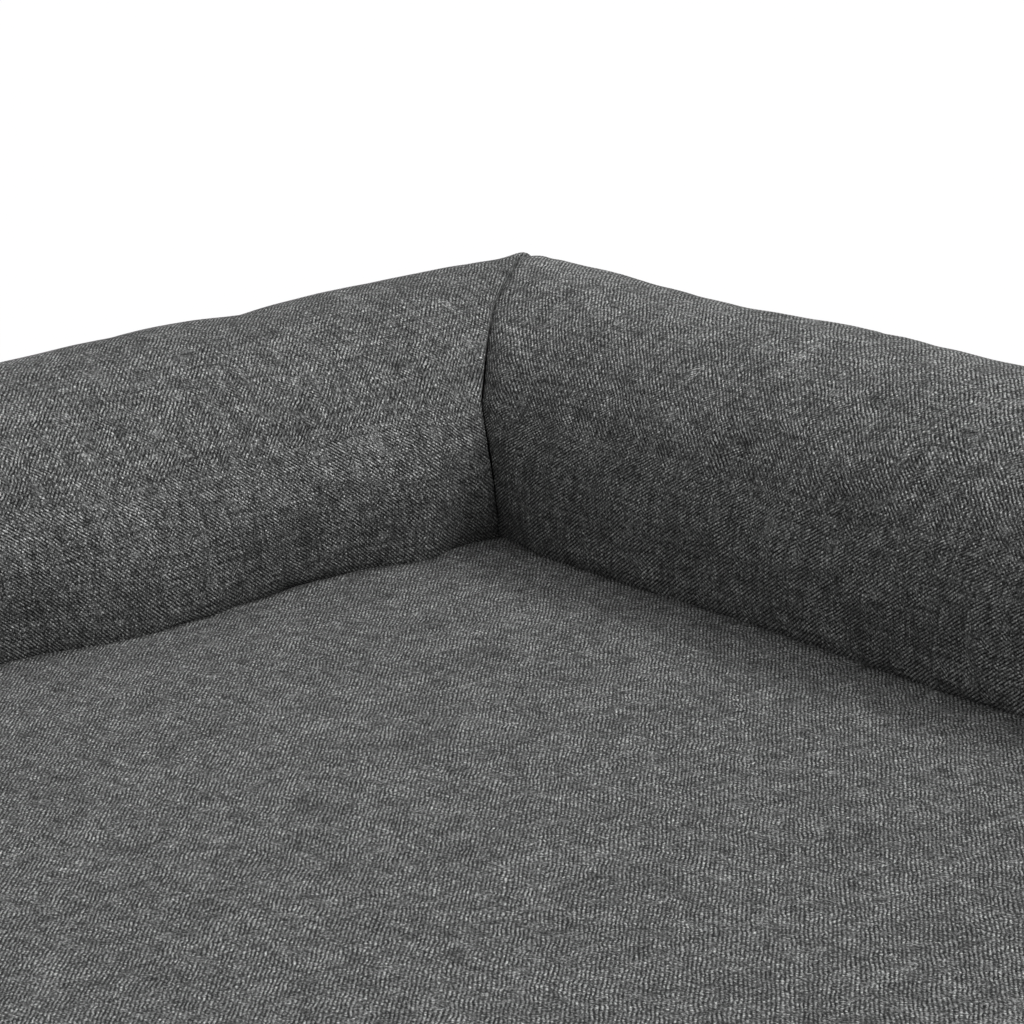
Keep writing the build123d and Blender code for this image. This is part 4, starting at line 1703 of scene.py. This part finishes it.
def place_camera(scene):
    """The camera at the photograph's viewing angle."""
    camera = bpy.data.cameras.new("camera")
    camera.lens = CAMERA_LENS_MM
    camera.sensor_width = SENSOR_MM
    camera.clip_end = 60
    seen = new_object("camera", camera)
    right, down = Vector(CAMERA_RIGHT).normalized(), Vector(CAMERA_DOWN).normalized()
    back = right.cross(-down)
    turned = Matrix((right, -down, back)).transposed()
    seen.matrix_world = Matrix.Translation(CAMERA_PLACE) @ turned.to_4x4()
    scene.camera = seen


def soft_sun(name, source, spread, strength):
    """A broad soft light from one direction, alike everywhere, as a large softbox gives."""
    light = bpy.data.lights.new(name, "SUN")
    light.angle = math.radians(spread)
    light.energy = strength
    lamp = new_object(name, light)
    lamp.rotation_mode = "QUATERNION"
    lamp.rotation_quaternion = Vector(source).to_track_quat("Z", "Y")


def light_studio(scene):
    """A window's light from high on the right, a soft one from the front and a pale world."""
    for name, source, spread, strength in SUNS:
        soft_sun(name, source, spread, strength)
    world = scene.world = bpy.data.worlds.new("studio")
    bench = Bench("studio", world)
    soft, white = [
        bench.node("ShaderNodeBackground", inputs={"Color": (1, 1, 1, 1), "Strength": strength})
        for strength in (SOFT_WORLD, 1.0)
    ]
    camera_ray, glossy_ray = bench.ray_kinds()
    seen = camera_ray.math("MAXIMUM", camera_ray, glossy_ray)
    mixed = bench.node("ShaderNodeMixShader", inputs=(seen, soft, white))
    bench.node("ShaderNodeOutputWorld", inputs=(mixed,))


def lay_floor(looks):
    """A wide pale floor that shows white to the camera and keeps the bed's shadow."""
    half = FLOOR_HALF
    corners = [(-half, -half, 0), (half, -half, 0), (half, half, 0), (-half, half, 0)]
    floor = shaped("floor", corners, [(0, 1, 2, 3)])
    floor.location.z = -FLOOR_DROP
    bench = Bench("floor")
    paint = bench.node(
        "ShaderNodeBsdfDiffuse", inputs={"Color": (*looks.floor[:3], 1.0)}
    )
    glow = bench.node("ShaderNodeEmission", inputs={"Color": (1, 1, 1, 1), "Strength": FLOOR_GLOW})
    camera_ray, glossy_ray = bench.ray_kinds()
    share = (camera_ray + glossy_ray).clamp() * 0.5
    mixed = bench.node("ShaderNodeMixShader", inputs=(share, paint, glow))
    bench.node("ShaderNodeOutputMaterial", inputs={"Surface": mixed})
    floor.data.materials.append(bench.material)


class DOGBED_OT_casing(bpy.types.Operator):
    """Sews the base's casing: sleeping panel, side walls, underside and topstitching"""

    bl_idname = "dog_bed.casing"
    bl_label = "Casing"

    def execute(self, context):
        sizes, looks = context.scene.dog_bed_sizes, context.scene.dog_bed_looks
        sleeping_panel(sizes, looks)
        boxing_walls(sizes, looks)
        wall_stitching(sizes, looks)
        underside(sizes, looks)
        return {"FINISHED"}


class DOGBED_OT_bolsters(bpy.types.Operator):
    """Sews and stuffs the three bolsters"""

    bl_idname = "dog_bed.bolsters"
    bl_label = "Bolsters"

    def execute(self, context):
        sizes, looks = context.scene.dog_bed_sizes, context.scene.dog_bed_looks
        for seed, name in enumerate(("back", "right", "left")):
            bolster = Bolster(name, 100 * (seed + 1), sizes)
            bolster.wrinkles = Wrinkles(bolster)
            bolster_cover(bolster, looks)
            bolster_stuffing(bolster, looks)
            slot_stitching(bolster, looks)
            if name != "back":
                end_cap(bolster, looks)
        return {"FINISHED"}


class DOGBED_OT_zippers(bpy.types.Operator):
    """Makes the four zippers' tapes and coils"""

    bl_idname = "dog_bed.zippers"
    bl_label = "Zippers"

    def execute(self, context):
        sizes, looks = context.scene.dog_bed_sizes, context.scene.dog_bed_looks
        for name in ZIPPERS:
            zipper_tapes(name, looks)
            zipper_coils(name, sizes, looks)
        return {"FINISHED"}


class DOGBED_OT_finishes(bpy.types.Operator):
    """Gives the foam, the lining and the zippers' hardware their finishes"""

    bl_idname = "dog_bed.finishes"
    bl_label = "Finishes"

    def execute(self, context):
        dress_nodes(context.scene.dog_bed_looks)
        return {"FINISHED"}


class DOGBED_PT_panel(bpy.types.Panel):
    """The dog bed's tools in the sidebar"""

    bl_label = "Dog Bed"
    bl_idname = "DOGBED_PT_panel"
    bl_space_type = "VIEW_3D"
    bl_region_type = "UI"
    bl_category = "Dog Bed"

    def draw(self, context):
        for operator in OPERATORS:
            self.layout.operator(operator.bl_idname)
        for group in (context.scene.dog_bed_sizes, context.scene.dog_bed_looks):
            box = self.layout.box()
            for name in group.__annotations__:
                box.prop(group, name)


OPERATORS = (
    DOGBED_OT_stage,
    DOGBED_OT_casing,
    DOGBED_OT_bolsters,
    DOGBED_OT_zippers,
    DOGBED_OT_finishes,
)
CLASSES = (BedSizes, BedLooks, *OPERATORS, DOGBED_PT_panel)


def register():
    for each in CLASSES:
        bpy.utils.register_class(each)
    bpy.types.Scene.dog_bed_sizes = PointerProperty(type=BedSizes)
    bpy.types.Scene.dog_bed_looks = PointerProperty(type=BedLooks)


def unregister():
    del bpy.types.Scene.dog_bed_looks
    del bpy.types.Scene.dog_bed_sizes
    for each in reversed(CLASSES):
        bpy.utils.unregister_class(each)


def main():
    register()
    bpy.ops.dog_bed.stage()
    bpy.ops.dog_bed.casing()
    bpy.ops.dog_bed.bolsters()
    bpy.ops.dog_bed.zippers()
    bpy.ops.dog_bed.finishes()


if __name__ == "__main__":
    main()
